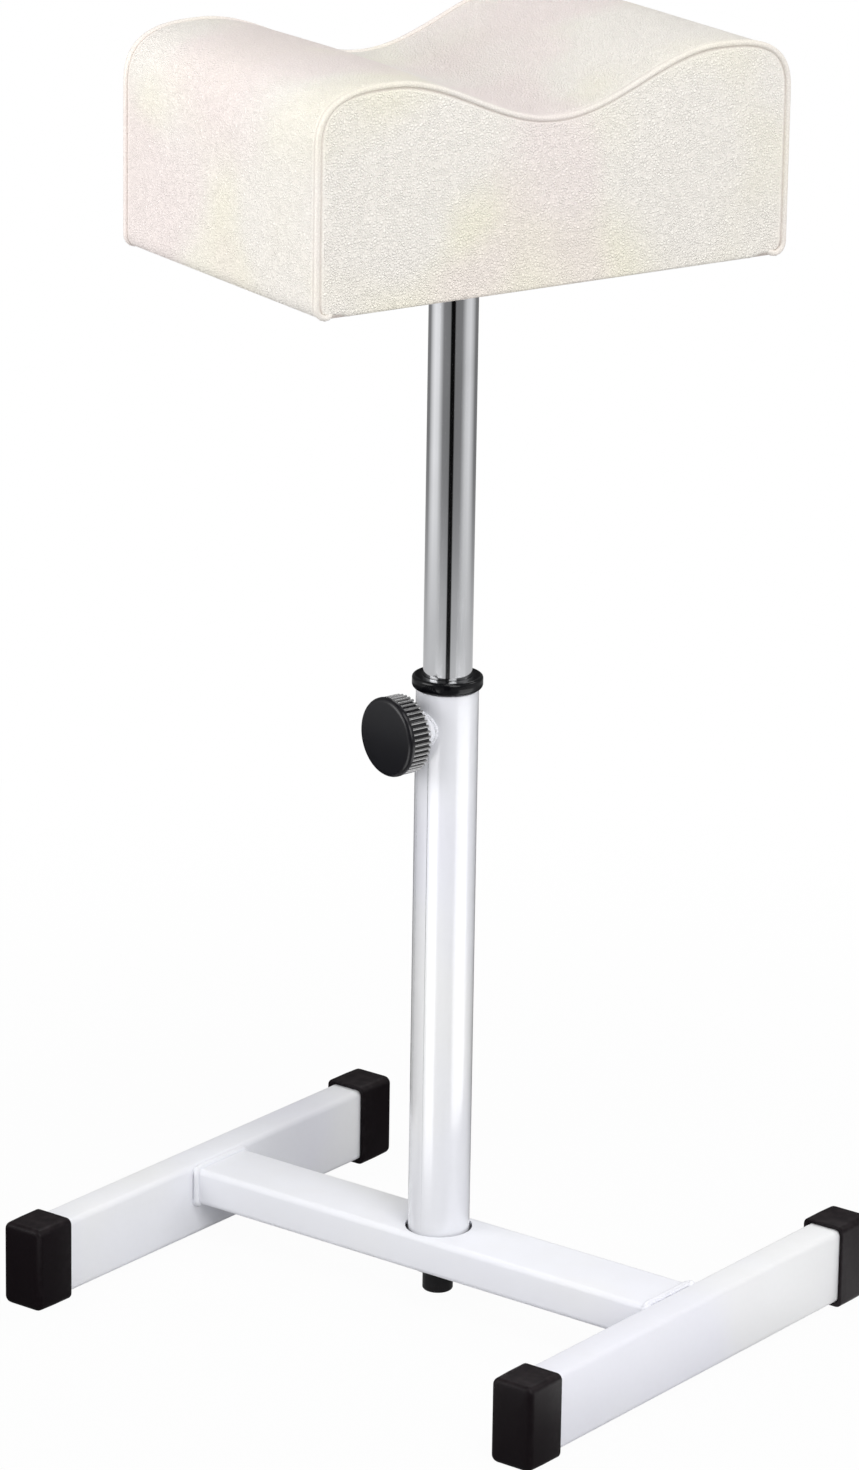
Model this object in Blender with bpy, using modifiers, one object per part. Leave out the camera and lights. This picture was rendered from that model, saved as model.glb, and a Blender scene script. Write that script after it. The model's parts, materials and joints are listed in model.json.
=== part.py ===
"""Pedicure footrest: an H-shaped tube frame, a clamped telescopic column and a two-lobed cushion.

Metres, +Z up. The origin is on the floor, on the column's axis. The cross tube runs along X and
the two legs run along Y. The cushion is drawn in its own axes: across (X), along (Y) and up (Z).
"""

import math

import bmesh
import bpy
from mathutils import Matrix

# Driving sizes of the frame
LEG_LENGTH = 0.290
LEG_SPACING = 0.316
LEG_WIDTH = 0.020
LEG_HEIGHT = 0.040
CROSS_WIDTH = 0.040
CROSS_HEIGHT = 0.020
CROSS_DROP = 0.0013
TUBE_WALL = 0.0015
TUBE_CORNER = 0.003
WELD_RADIUS = 0.0016
WELD_LIFT = 0.0004
WELD_INSET = 0.0001

# Driving sizes of the end caps
CAP_LENGTH = 0.026
CAP_WALL = 0.0022
CAP_END_WALL = 0.003
CAP_EDGE = 0.0024

# Driving sizes of the column
COLUMN_DIAMETER = 0.032
COLUMN_WALL = 0.0015
COLUMN_LENGTH = 0.3103
COLUMN_HOLE_CLEARANCE = 0.0015
COLUMN_TURN = math.radians(-13)
FOOT_PLUG_HEIGHT = 0.016
BOLT_DIAMETER = 0.010
BOLT_REACH = 0.022
BOLT_HEAD_DIAMETER = 0.016
BOLT_HEAD_HEIGHT = 0.010
BOLT_SOCKET_WIDTH = 0.008
BOLT_SOCKET_DEPTH = 0.005
WASHER_DIAMETER = 0.028
WASHER_THICKNESS = 0.002
LOCK_WASHER_DIAMETER = 0.0162
LOCK_WASHER_THICKNESS = 0.0025
LOCK_WASHER_SLIT = 0.0012
COLLAR_DIAMETER = 0.0362
COLLAR_HEIGHT = 0.007
COLLAR_ROUND = 0.0026
COLLAR_SKIRT = 0.010

# Driving sizes of the clamp
CLAMP_DROP = 0.0188
BOSS_DIAMETER = 0.0142
BOSS_FOOT_DIAMETER = 0.0172
BOSS_FOOT_HEIGHT = 0.0022
BOSS_LENGTH = 0.0095
STUD_DIAMETER = 0.008
STUD_CHAMFER = 0.0008
STUD_CLEARANCE = 0.0001
STUD_IN_KNOB = 0.010
PAD_DIAMETER = 0.0074
PAD_LENGTH = 0.0036
KNOB_DIAMETER = 0.041
KNOB_THICKNESS = 0.0145
KNOB_FACE_THICKNESS = 0.0036
KNOB_FACE_ROUND = 0.0022
KNOB_FACE_DISH = 0.0006
KNOB_RIBS = 44
KNOB_RIB_DEPTH = 0.0010
KNOB_RIB_SETBACK = 0.0003
KNOB_RIB_SHARES = ((0.0, 0.0), (0.22, 1.0), (0.5, 1.0), (0.72, 0.0))
KNOB_WALL = 0.003
KNOB_HUB_DIAMETER = 0.016
KNOB_STANDOFF = 0.0012

# Driving sizes of the post
POST_DIAMETER = 0.025
POST_WALL = 0.0015
POST_CLEARANCE = 0.0001
POST_INSERTION = 0.078
RING_HEIGHT = 0.012
RING_CLEARANCE = 0.0001
END_PLUG_SPIGOT = 0.015
END_PLUG_FLANGE_DIAMETER = 0.026
END_PLUG_FLANGE = 0.0025
PLATE_SIZE = 0.090
PLATE_THICKNESS = 0.003
PLATE_CORNER = 0.008
SOCKET_WALL = 0.0025
SOCKET_LENGTH = 0.008
SCREW_SPACING = 0.068
SCREW_DIAMETER = 0.006
SCREW_LENGTH = 0.018
SCREW_HEAD_DIAMETER = 0.012
SCREW_HEAD_HEIGHT = 0.0036

# Driving sizes of the cushion
CUSHION_BOTTOM = 0.560
CUSHION_TURN = math.radians(71)
CUSHION_WIDTH = 0.276
CUSHION_DEPTH = 0.178
RIDGE_HEIGHT = 0.111
VALLEY_HEIGHT = 0.085
RIDGE_SPACING = 0.190
SHOULDER_DROP = 0.030
SHOULDER_POWER = 2.8
LOWER_CORNER = 0.010
SIDE_CROWN = 0.003
END_CROWN = 0.005
COVER_THICKNESS = 0.0012
HEM_WIDTH = 0.022
CORE_EDGE = 0.005
PIPING_RADIUS = 0.002
PIPING_SINK = 0.0009
BOARD_THICKNESS = 0.015
LINING_THICKNESS = 0.0009
TEE_NUT_DIAMETER = 0.019
TEE_NUT_FLANGE = 0.0012
TEE_NUT_BARREL_DIAMETER = 0.008
TEE_NUT_BARREL = 0.009

# The gap that parts which touch keep, and how far a cutter runs past what it cuts
SEAT = 0.0003
OVERRUN = 0.004
MERGE_DISTANCE = 0.000001

# How finely round shapes are divided
ROUND_STEPS = 48
SMALL_STEPS = 32
HIDDEN_STEPS = 16
CORNER_STEPS = 4
SHOULDER_STEPS = 7
WAVE_STEPS = 7
SHARP_ANGLE = math.radians(35)
SIDE_SHARES = (0.0, 0.33, 0.67)
HEM_SHARES = (-1.0, -0.5, 0.0, 0.5, 1.0)
RING_SHARES = (-1.0, -0.7, -0.35, 0.0, 0.35, 0.7, 1.0)
DOME_SHARES = (1.0, 0.85, 0.6, 0.3)

# Heights and places worked out from the sizes above
FRAME_BOTTOM = CAP_WALL + SEAT
FRAME_TOP = FRAME_BOTTOM + LEG_HEIGHT
CROSS_TOP = FRAME_TOP - CROSS_DROP
CROSS_BOTTOM = CROSS_TOP - CROSS_HEIGHT
CROSS_LENGTH = LEG_SPACING - LEG_WIDTH - 2 * SEAT
COLUMN_RADIUS = COLUMN_DIAMETER / 2
COLUMN_BORE = COLUMN_RADIUS - COLUMN_WALL
COLUMN_BOTTOM = CROSS_BOTTOM + TUBE_WALL + SEAT
COLUMN_TOP = COLUMN_BOTTOM + COLUMN_LENGTH
COLLAR_BOTTOM = COLUMN_TOP + SEAT
COLLAR_TOP = COLLAR_BOTTOM + COLLAR_HEIGHT
CLAMP_HEIGHT = COLUMN_TOP - CLAMP_DROP
POST_RADIUS = POST_DIAMETER / 2
STUD_BORE = STUD_DIAMETER / 2 + STUD_CLEARANCE
PAD_START = POST_RADIUS + SEAT
STUD_START = PAD_START + PAD_LENGTH + SEAT
BOSS_END = COLUMN_RADIUS + BOSS_LENGTH
KNOB_BACK = BOSS_END + KNOB_STANDOFF
KNOB_FACE = KNOB_BACK + KNOB_THICKNESS
PLATE_TOP = CUSHION_BOTTOM
PLATE_BOTTOM = PLATE_TOP - PLATE_THICKNESS
POST_TOP = PLATE_BOTTOM - SEAT
POST_BOTTOM = COLLAR_TOP - POST_INSERTION
BOARD_BOTTOM = CUSHION_BOTTOM + COVER_THICKNESS + SEAT
BOARD_TOP = BOARD_BOTTOM + BOARD_THICKNESS
FOAM_BOTTOM = BOARD_TOP + SEAT
BOARD_DEPTH = BOARD_TOP - CUSHION_BOTTOM
PANEL_CENTRE = (VALLEY_HEIGHT + BOARD_DEPTH) / 2
CORE_INSET = COVER_THICKNESS + SEAT
CORE_REACH = CUSHION_DEPTH / 2 - CORE_INSET
EDGE_SETBACK = PIPING_SINK + PIPING_RADIUS + SEAT


def clear_scene():
    for obj in list(bpy.data.objects):
        bpy.data.objects.remove(obj, do_unlink=True)


def new_collection(name):
    collection = bpy.data.collections.new(name)
    bpy.context.scene.collection.children.link(collection)
    return collection


def new_material(name, colour, roughness, metallic=0.0):
    material = bpy.data.materials.new(name)
    material.use_nodes = True
    shader = material.node_tree.nodes["Principled BSDF"]
    shader.inputs["Base Color"].default_value = (*colour, 1.0)
    shader.inputs["Roughness"].default_value = roughness
    shader.inputs["Metallic"].default_value = metallic
    material.diffuse_color = (*colour, 1.0)
    return material


clear_scene()
PARTS = new_collection("pedicure_footrest")
CUTTERS = new_collection("cutters")
WHITE_PAINT = new_material("white_paint", (0.86, 0.87, 0.88), 0.35)
CHROME = new_material("chrome", (0.78, 0.79, 0.80), 0.06, 1.0)
BLACK_PLASTIC = new_material("black_plastic", (0.018, 0.017, 0.017), 0.4)
BLACK_STEEL = new_material("black_steel", (0.02, 0.02, 0.02), 0.45, 0.6)
ZINC_STEEL = new_material("zinc_steel", (0.66, 0.67, 0.68), 0.35, 1.0)
NATURAL_PLASTIC = new_material("natural_plastic", (0.82, 0.81, 0.76), 0.5)
IVORY_LEATHER = new_material("ivory_leather", (0.86, 0.83, 0.78), 0.5)
FOAM = new_material("foam", (0.84, 0.78, 0.55), 0.9)
PLYWOOD = new_material("plywood", (0.62, 0.45, 0.27), 0.7)
LINING_CLOTH = new_material("lining_cloth", (0.03, 0.03, 0.032), 0.9)


def new_empty(name, height=0.0, turn=0.0, parent=None):
    empty = bpy.data.objects.new(name, None)
    empty.location = (0, 0, height)
    empty.rotation_euler = (0, 0, turn)
    empty.parent = parent
    PARTS.objects.link(empty)
    return empty


def new_part(name, mesh, material, parent=None):
    obj = bpy.data.objects.new(name, mesh)
    if not mesh.materials:
        mesh.materials.append(material)
    obj.parent = parent
    PARTS.objects.link(obj)
    return obj


def make_cutter(obj, parent=None):
    """Turns an object into a helper that is left out of the part."""
    PARTS.objects.unlink(obj)
    CUTTERS.objects.link(obj)
    obj.parent = parent
    obj.hide_render = True
    obj.display_type = "WIRE"
    return obj


def boolean(obj, helper, operation):
    modifier = obj.modifiers.new(operation.lower() + "_" + helper.name, "BOOLEAN")
    modifier.object = helper
    modifier.operation = operation
    modifier.solver = "EXACT"


def smooth(mesh):
    mesh.shade_smooth()
    mesh.set_sharp_from_angle(angle=SHARP_ANGLE)


def arc(centre_x, centre_y, radius, start, end, steps=CORNER_STEPS):
    """Points of an arc, from the start angle to the end angle in degrees."""
    points = []
    for i in range(steps + 1):
        angle = math.radians(start + (end - start) * i / steps)
        points.append((centre_x + radius * math.cos(angle), centre_y + radius * math.sin(angle)))
    return points


def rounded_rectangle(width, height, radius):
    x, y = width / 2 - radius, height / 2 - radius
    return (
        arc(x, y, radius, 0, 90)
        + arc(-x, y, radius, 90, 180)
        + arc(-x, -y, radius, 180, 270)
        + arc(x, -y, radius, 270, 360)
    )


def circle(radius, centre_x=0.0, centre_y=0.0, steps=SMALL_STEPS):
    return arc(centre_x, centre_y, radius, 0, 360, steps)[:-1]


def turned_mesh(name, profile, steps, ring=False):
    """A profile of (radius, height) points, from the top down the outer side, turned about Z."""
    mesh = bpy.data.meshes.new(name)
    edges = [(i, i + 1) for i in range(len(profile) - 1)]
    if ring:
        edges.append((len(profile) - 1, 0))
    mesh.from_pydata([(radius, 0, height) for radius, height in profile], edges, [])
    obj = bpy.data.objects.new(name, mesh)
    PARTS.objects.link(obj)
    screw = obj.modifiers.new("turn", "SCREW")
    screw.axis = "Z"
    screw.angle = math.radians(360)
    screw.steps = steps
    screw.render_steps = steps
    screw.use_merge_vertices = True
    screw.merge_threshold = MERGE_DISTANCE
    result = evaluated_mesh(obj, name)
    bpy.data.objects.remove(obj, do_unlink=True)
    smooth(result)
    return result


def evaluated_mesh(obj, name):
    """The object's mesh with its modifiers applied and its loose seams welded."""
    bpy.context.view_layer.update()
    graph = bpy.context.evaluated_depsgraph_get()
    mesh = bpy.data.meshes.new_from_object(obj.evaluated_get(graph))
    mesh.name = name
    soup = bmesh.new()
    soup.from_mesh(mesh)
    bmesh.ops.remove_doubles(soup, verts=soup.verts, dist=MERGE_DISTANCE)
    bmesh.ops.recalc_face_normals(soup, faces=soup.faces)
    soup.to_mesh(mesh)
    soup.free()
    return mesh


def prism_mesh(name, outlines, thickness):
    """Flat outlines in XY, the first outside and the others holes, made thick about Z = 0."""
    curve = bpy.data.curves.new(name, "CURVE")
    curve.dimensions = "2D"
    curve.fill_mode = "BOTH"
    curve.extrude = thickness / 2
    for outline in outlines:
        spline = curve.splines.new("POLY")
        spline.points.add(len(outline) - 1)
        for point, (x, y) in zip(spline.points, outline):
            point.co = (x, y, 0, 1)
        spline.use_cyclic_u = True
    obj = bpy.data.objects.new(name, curve)
    PARTS.objects.link(obj)
    mesh = evaluated_mesh(obj, name)
    bpy.data.objects.remove(obj, do_unlink=True)
    smooth(mesh)
    return mesh


def wire_mesh(name, points, radius, cyclic=False, sides=2):
    """A round bar along the points."""
    curve = bpy.data.curves.new(name, "CURVE")
    curve.dimensions = "3D"
    curve.bevel_depth = radius
    curve.bevel_resolution = sides
    curve.use_fill_caps = not cyclic
    spline = curve.splines.new("POLY")
    spline.points.add(len(points) - 1)
    for point, place in zip(spline.points, points):
        point.co = (*place, 1)
    spline.use_cyclic_u = cyclic
    obj = bpy.data.objects.new(name, curve)
    PARTS.objects.link(obj)
    mesh = evaluated_mesh(obj, name)
    bpy.data.objects.remove(obj, do_unlink=True)
    smooth(mesh)
    return mesh


def box_tube_mesh(name, length, width, height):
    """A square-cut length of box tube along Z, its width along X and its height along Y."""
    bore = rounded_rectangle(width - 2 * TUBE_WALL, height - 2 * TUBE_WALL, TUBE_CORNER - TUBE_WALL)
    return prism_mesh(name, [rounded_rectangle(width, height, TUBE_CORNER), bore], length)


def add_legs(frame):
    mesh = box_tube_mesh("leg_tube", LEG_LENGTH, LEG_WIDTH, LEG_HEIGHT)
    mesh.transform(Matrix.Rotation(math.radians(90), 4, "X"))
    for name, side in (("leg_tube_left", -1), ("leg_tube_right", 1)):
        leg = new_part(name, mesh, WHITE_PAINT, frame)
        leg.location = (side * LEG_SPACING / 2, 0, FRAME_BOTTOM + LEG_HEIGHT / 2)


def add_cross_tube(frame):
    """The flat tube between the legs, with the column's hole, the bolt's hole and the end welds."""
    upright = Matrix.Rotation(math.radians(90), 4, "Z") @ Matrix.Rotation(math.radians(90), 4, "X")
    mesh = box_tube_mesh("cross_tube", CROSS_LENGTH, CROSS_WIDTH, CROSS_HEIGHT)
    mesh.transform(upright)
    cross = new_part("cross_tube", mesh, WHITE_PAINT, frame)
    cross.location = (0, 0, CROSS_TOP - CROSS_HEIGHT / 2)
    for name, side in (("left_weld", -1), ("right_weld", 1)):
        width, height = CROSS_WIDTH + 2 * WELD_LIFT, CROSS_HEIGHT + 2 * WELD_LIFT
        ring = rounded_rectangle(width, height, TUBE_CORNER + WELD_LIFT)
        bead = wire_mesh(name, [(0, y, z) for y, z in ring], WELD_RADIUS, cyclic=True)
        helper = make_cutter(new_part(name, bead, WHITE_PAINT), cross)
        helper.location = (side * (CROSS_LENGTH / 2 - WELD_RADIUS - WELD_INSET), 0, 0)
        boolean(cross, helper, "UNION")
    hole_radius = COLUMN_RADIUS + COLUMN_HOLE_CLEARANCE
    top_cut = prism_mesh("column_hole", [circle(hole_radius, steps=ROUND_STEPS)], CROSS_HEIGHT)
    helper = make_cutter(new_part("column_hole", top_cut, WHITE_PAINT), cross)
    helper.location = (0, 0, CROSS_HEIGHT / 2)
    boolean(cross, helper, "DIFFERENCE")
    bolt_cut = prism_mesh("bolt_hole", [circle(BOLT_DIAMETER / 2 + SEAT)], CROSS_HEIGHT)
    helper = make_cutter(new_part("bolt_hole", bolt_cut, WHITE_PAINT), cross)
    helper.location = (0, 0, -CROSS_HEIGHT / 2)
    boolean(cross, helper, "DIFFERENCE")


def add_end_caps(frame):
    """Slip-over caps, which carry the frame just off the floor."""
    pocket_width, pocket_height = LEG_WIDTH + 2 * SEAT, LEG_HEIGHT + 2 * SEAT
    width, height = pocket_width + 2 * CAP_WALL, pocket_height + 2 * CAP_WALL
    soup = bmesh.new()
    bmesh.ops.create_cube(soup, size=1.0)
    bmesh.ops.scale(soup, vec=(width, CAP_LENGTH, height), verts=soup.verts)
    bmesh.ops.bevel(soup, geom=soup.edges, offset=CAP_EDGE, segments=3, profile=0.5, affect="EDGES")
    mesh = bpy.data.meshes.new("end_cap")
    soup.to_mesh(mesh)
    soup.free()
    smooth(mesh)
    pocket_depth = CAP_LENGTH - CAP_END_WALL + OVERRUN
    pocket = prism_mesh(
        "cap_pocket", [rounded_rectangle(pocket_width, pocket_height, TUBE_CORNER)], pocket_depth
    )
    pocket.transform(Matrix.Rotation(math.radians(90), 4, "X"))
    middle = LEG_LENGTH / 2 + SEAT + CAP_END_WALL - CAP_LENGTH / 2
    for along, end in (("front", -1), ("rear", 1)):
        for across, side in (("left", -1), ("right", 1)):
            cap = new_part(f"end_cap_{along}_{across}", mesh, BLACK_PLASTIC, frame)
            cap.location = (side * LEG_SPACING / 2, end * middle, height / 2)
            helper = make_cutter(new_part(f"pocket_{along}_{across}", pocket, BLACK_PLASTIC), cap)
            helper.location = (0, end * (-CAP_LENGTH / 2 + pocket_depth / 2 - OVERRUN), 0)
            boolean(cap, helper, "DIFFERENCE")


def add_column(column):
    """The painted outer tube, with the hole that the clamp screw passes through."""
    profile = [
        (COLUMN_RADIUS, COLUMN_TOP),
        (COLUMN_RADIUS, COLUMN_BOTTOM),
        (COLUMN_BORE, COLUMN_BOTTOM),
        (COLUMN_BORE, COLUMN_TOP),
    ]
    mesh = turned_mesh("column_tube", profile, ROUND_STEPS, ring=True)
    tube = new_part("column_tube", mesh, WHITE_PAINT, column)
    reach = COLUMN_RADIUS + OVERRUN
    hole = prism_mesh("clamp_hole", [circle(STUD_BORE)], reach)
    hole.transform(Matrix.Rotation(math.radians(90), 4, "X"))
    helper = make_cutter(new_part("clamp_hole", hole, WHITE_PAINT), column)
    helper.location = (0, -reach / 2, CLAMP_HEIGHT)
    boolean(tube, helper, "DIFFERENCE")


def add_foot_plug(column):
    """The threaded plug welded into the bottom of the column."""
    radius, bore = COLUMN_BORE - SEAT, BOLT_DIAMETER / 2 + SEAT
    top = COLUMN_BOTTOM + FOOT_PLUG_HEIGHT
    profile = [(radius, top), (radius, COLUMN_BOTTOM), (bore, COLUMN_BOTTOM), (bore, top)]
    mesh = turned_mesh("column_foot_plug", profile, ROUND_STEPS, ring=True)
    new_part("column_foot_plug", mesh, ZINC_STEEL, column)


def add_base_fixings(column):
    """The screw, lock washer and flat washer that pull the column down onto the cross tube."""
    washer_top = CROSS_BOTTOM - SEAT
    washer_bottom = washer_top - WASHER_THICKNESS
    lock_top = washer_bottom - SEAT
    lock_bottom = lock_top - LOCK_WASHER_THICKNESS
    head_top = lock_bottom - SEAT
    head_bottom = head_top - BOLT_HEAD_HEIGHT
    bore = BOLT_DIAMETER / 2 + SEAT
    outer = WASHER_DIAMETER / 2
    profile = [(outer, washer_top), (outer, washer_bottom)]
    profile += [(bore, washer_bottom), (bore, washer_top)]
    mesh = turned_mesh("base_washer", profile, ROUND_STEPS, ring=True)
    new_part("base_washer", mesh, ZINC_STEEL, column)

    outer = LOCK_WASHER_DIAMETER / 2
    profile = [(outer, lock_top), (outer, lock_bottom), (bore, lock_bottom), (bore, lock_top)]
    mesh = turned_mesh("base_lock_washer", profile, SMALL_STEPS, ring=True)
    lock = new_part("base_lock_washer", mesh, BLACK_STEEL, column)
    outline = rounded_rectangle(outer * 2, LOCK_WASHER_SLIT, 0)
    slit = prism_mesh("lock_slit", [outline], CROSS_HEIGHT)
    helper = make_cutter(new_part("lock_slit", slit, BLACK_STEEL), column)
    helper.location = (outer, 0, lock_top)
    boolean(lock, helper, "DIFFERENCE")

    head, shank = BOLT_HEAD_DIAMETER / 2, BOLT_DIAMETER / 2
    profile = [
        (0, head_top + BOLT_REACH),
        (shank - STUD_CHAMFER, head_top + BOLT_REACH),
        (shank, head_top + BOLT_REACH - STUD_CHAMFER),
        (shank, head_top),
        (head, head_top),
        (head, head_bottom + STUD_CHAMFER),
        (head - STUD_CHAMFER, head_bottom),
        (0, head_bottom),
    ]
    mesh = turned_mesh("base_bolt", profile, SMALL_STEPS)
    bolt = new_part("base_bolt", mesh, BLACK_STEEL, column)
    corner = BOLT_SOCKET_WIDTH / 2 / math.cos(math.radians(30))
    socket = prism_mesh("bolt_socket", [circle(corner, steps=6)], 2 * BOLT_SOCKET_DEPTH)
    helper = make_cutter(new_part("bolt_socket", socket, BLACK_STEEL), column)
    helper.location = (0, 0, head_bottom)
    boolean(bolt, helper, "DIFFERENCE")


def add_guide_collar(column):
    """The rounded collar on top of the column, whose skirt guides the post."""
    bore, skirt = POST_RADIUS + POST_CLEARANCE, COLUMN_BORE - SEAT
    edge = COLLAR_DIAMETER / 2 - COLLAR_ROUND
    profile = arc(edge, COLLAR_TOP - COLLAR_ROUND, COLLAR_ROUND, 90, 0)
    profile += arc(edge, COLLAR_BOTTOM + COLLAR_ROUND, COLLAR_ROUND, 0, -90)
    profile += [
        (skirt, COLLAR_BOTTOM),
        (skirt, COLLAR_BOTTOM - COLLAR_SKIRT),
        (bore, COLLAR_BOTTOM - COLLAR_SKIRT),
        (bore, COLLAR_TOP),
    ]
    mesh = turned_mesh("guide_collar", profile, ROUND_STEPS, ring=True)
    new_part("guide_collar", mesh, BLACK_PLASTIC, column)


def add_clamp_boss(clamp):
    """The threaded boss along the clamp's axis, cut to a saddle where it is welded on."""
    radius, foot = BOSS_DIAMETER / 2, BOSS_FOOT_DIAMETER / 2
    inner = COLUMN_BORE
    profile = [
        (radius - STUD_CHAMFER, BOSS_END),
        (radius, BOSS_END - STUD_CHAMFER),
        (radius, COLUMN_RADIUS + BOSS_FOOT_HEIGHT),
        (foot, COLUMN_RADIUS + BOSS_FOOT_HEIGHT / 2),
        (foot, inner),
        (STUD_BORE, inner),
        (STUD_BORE, BOSS_END),
    ]
    mesh = turned_mesh("clamp_boss", profile, SMALL_STEPS, ring=True)
    boss = new_part("clamp_boss", mesh, WHITE_PAINT, clamp)
    outline = circle(COLUMN_RADIUS + SEAT, steps=ROUND_STEPS)
    saddle = prism_mesh("boss_saddle", [outline], COLUMN_DIAMETER)
    saddle.transform(Matrix.Rotation(math.radians(90), 4, "X"))
    helper = make_cutter(new_part("boss_saddle", saddle, WHITE_PAINT), clamp)
    boolean(boss, helper, "DIFFERENCE")


def add_clamp_pad(clamp):
    """The loose slug between the screw and the chrome, so that the screw doesn't score it."""
    radius = PAD_DIAMETER / 2
    end = PAD_START + PAD_LENGTH
    profile = [(0, end), (radius, end), (radius, PAD_START), (0, PAD_START)]
    mesh = turned_mesh("clamp_pad", profile, SMALL_STEPS)
    new_part("clamp_pad", mesh, NATURAL_PLASTIC, clamp)


def add_clamp_stud(clamp):
    radius = STUD_DIAMETER / 2
    top = KNOB_BACK + STUD_IN_KNOB
    profile = [
        (0, top),
        (radius, top),
        (radius, STUD_START + STUD_CHAMFER),
        (radius - STUD_CHAMFER, STUD_START),
        (0, STUD_START),
    ]
    new_part("clamp_stud", turned_mesh("clamp_stud", profile, SMALL_STEPS), ZINC_STEEL, clamp)


def add_clamp_knob(clamp):
    """The moulded knob: a smooth rounded face, a ribbed rim, and a hollow back round its hub."""
    radius, face = KNOB_DIAMETER / 2, KNOB_FACE
    rim_top = face - KNOB_FACE_THICKNESS
    flat = radius - KNOB_FACE_ROUND
    profile = [(0, face), (flat / 2, face - KNOB_FACE_DISH / 4)]
    profile += arc(flat, face - KNOB_FACE_DISH - KNOB_FACE_ROUND, KNOB_FACE_ROUND, 90, 0)
    profile += [(radius, rim_top), (0, rim_top)]
    cap = turned_mesh("knob_face", profile, ROUND_STEPS)
    knob = new_part("clamp_knob", cap, BLACK_PLASTIC, clamp)

    outline = []
    for rib in range(KNOB_RIBS):
        for share, height in KNOB_RIB_SHARES:
            angle = math.radians(360) * (rib + share) / KNOB_RIBS
            distance = radius - KNOB_RIB_SETBACK - KNOB_RIB_DEPTH * (1 - height)
            outline.append((distance * math.cos(angle), distance * math.sin(angle)))
    rim_length = KNOB_THICKNESS - KNOB_FACE_THICKNESS / 2
    cavity = circle(radius - KNOB_WALL - KNOB_RIB_DEPTH, steps=ROUND_STEPS)
    rim_mesh = prism_mesh("knob_rim", [outline, cavity], rim_length)
    rim = make_cutter(new_part("knob_rim", rim_mesh, BLACK_PLASTIC), clamp)
    rim.location = (0, 0, KNOB_BACK + rim_length / 2)
    boolean(knob, rim, "UNION")
    hub_mesh = prism_mesh("knob_hub", [circle(KNOB_HUB_DIAMETER / 2)], rim_length)
    hub = make_cutter(new_part("knob_hub", hub_mesh, BLACK_PLASTIC), clamp)
    hub.location = (0, 0, KNOB_BACK + rim_length / 2)
    boolean(knob, hub, "UNION")
    depth = STUD_IN_KNOB + SEAT
    bore_mesh = prism_mesh("knob_bore", [circle(STUD_BORE)], depth + OVERRUN)
    bore = make_cutter(new_part("knob_bore", bore_mesh, BLACK_PLASTIC), clamp)
    bore.location = (0, 0, KNOB_BACK + (depth - OVERRUN) / 2)
    boolean(knob, bore, "DIFFERENCE")


def add_post(post):
    """The chrome tube, drawn in the post's own axes from its bottom end."""
    length = POST_TOP - POST_BOTTOM
    inner = POST_RADIUS - POST_WALL
    profile = [(POST_RADIUS, length), (POST_RADIUS, 0), (inner, 0), (inner, length)]
    new_part("post_tube", turned_mesh("post_tube", profile, ROUND_STEPS, ring=True), CHROME, post)


def add_post_end(post):
    """The plug pressed into the tube, and the guide ring that turns freely on its neck."""
    neck = POST_RADIUS - POST_WALL - SEAT
    ring_top, ring_bottom = -SEAT, -SEAT - RING_HEIGHT
    flange_top = ring_bottom - SEAT
    flange = END_PLUG_FLANGE_DIAMETER / 2
    profile = [
        (0, END_PLUG_SPIGOT),
        (neck, END_PLUG_SPIGOT),
        (neck, flange_top),
        (flange, flange_top),
        (flange, flange_top - END_PLUG_FLANGE),
        (0, flange_top - END_PLUG_FLANGE),
    ]
    new_part("post_end_plug", turned_mesh("post_end_plug", profile, ROUND_STEPS), ZINC_STEEL, post)
    outer, bore = COLUMN_BORE - RING_CLEARANCE, neck + RING_CLEARANCE
    profile = [(outer, ring_top), (outer, ring_bottom), (bore, ring_bottom), (bore, ring_top)]
    mesh = turned_mesh("post_guide_ring", profile, ROUND_STEPS, ring=True)
    new_part("post_guide_ring", mesh, NATURAL_PLASTIC, post)


def screw_places():
    reach = SCREW_SPACING / 2
    return [(-reach, -reach), (reach, -reach), (-reach, reach), (reach, reach)]


def add_mounting_plate(cushion):
    """The plate that carries the cushion, with the socket that the post is welded into."""
    radius = SCREW_DIAMETER / 2 + SEAT
    holes = [circle(radius, x, y, HIDDEN_STEPS) for x, y in screw_places()]
    outline = rounded_rectangle(PLATE_SIZE, PLATE_SIZE, PLATE_CORNER)
    mesh = prism_mesh("mounting_plate", [outline] + holes, PLATE_THICKNESS)
    plate = new_part("mounting_plate", mesh, CHROME, cushion)
    plate.location = (0, 0, -PLATE_THICKNESS / 2)
    bore = POST_RADIUS + SEAT
    top, bottom = -PLATE_THICKNESS / 2, -PLATE_THICKNESS - SOCKET_LENGTH
    outer = bore + SOCKET_WALL
    profile = [
        (outer, top),
        (outer, bottom + SOCKET_WALL / 2),
        (outer - SOCKET_WALL / 2, bottom),
        (bore, bottom),
        (bore, top),
    ]
    socket = turned_mesh("post_socket", profile, ROUND_STEPS, ring=True)
    helper = make_cutter(new_part("post_socket", socket, CHROME), cushion)
    boolean(plate, helper, "UNION")


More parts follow.
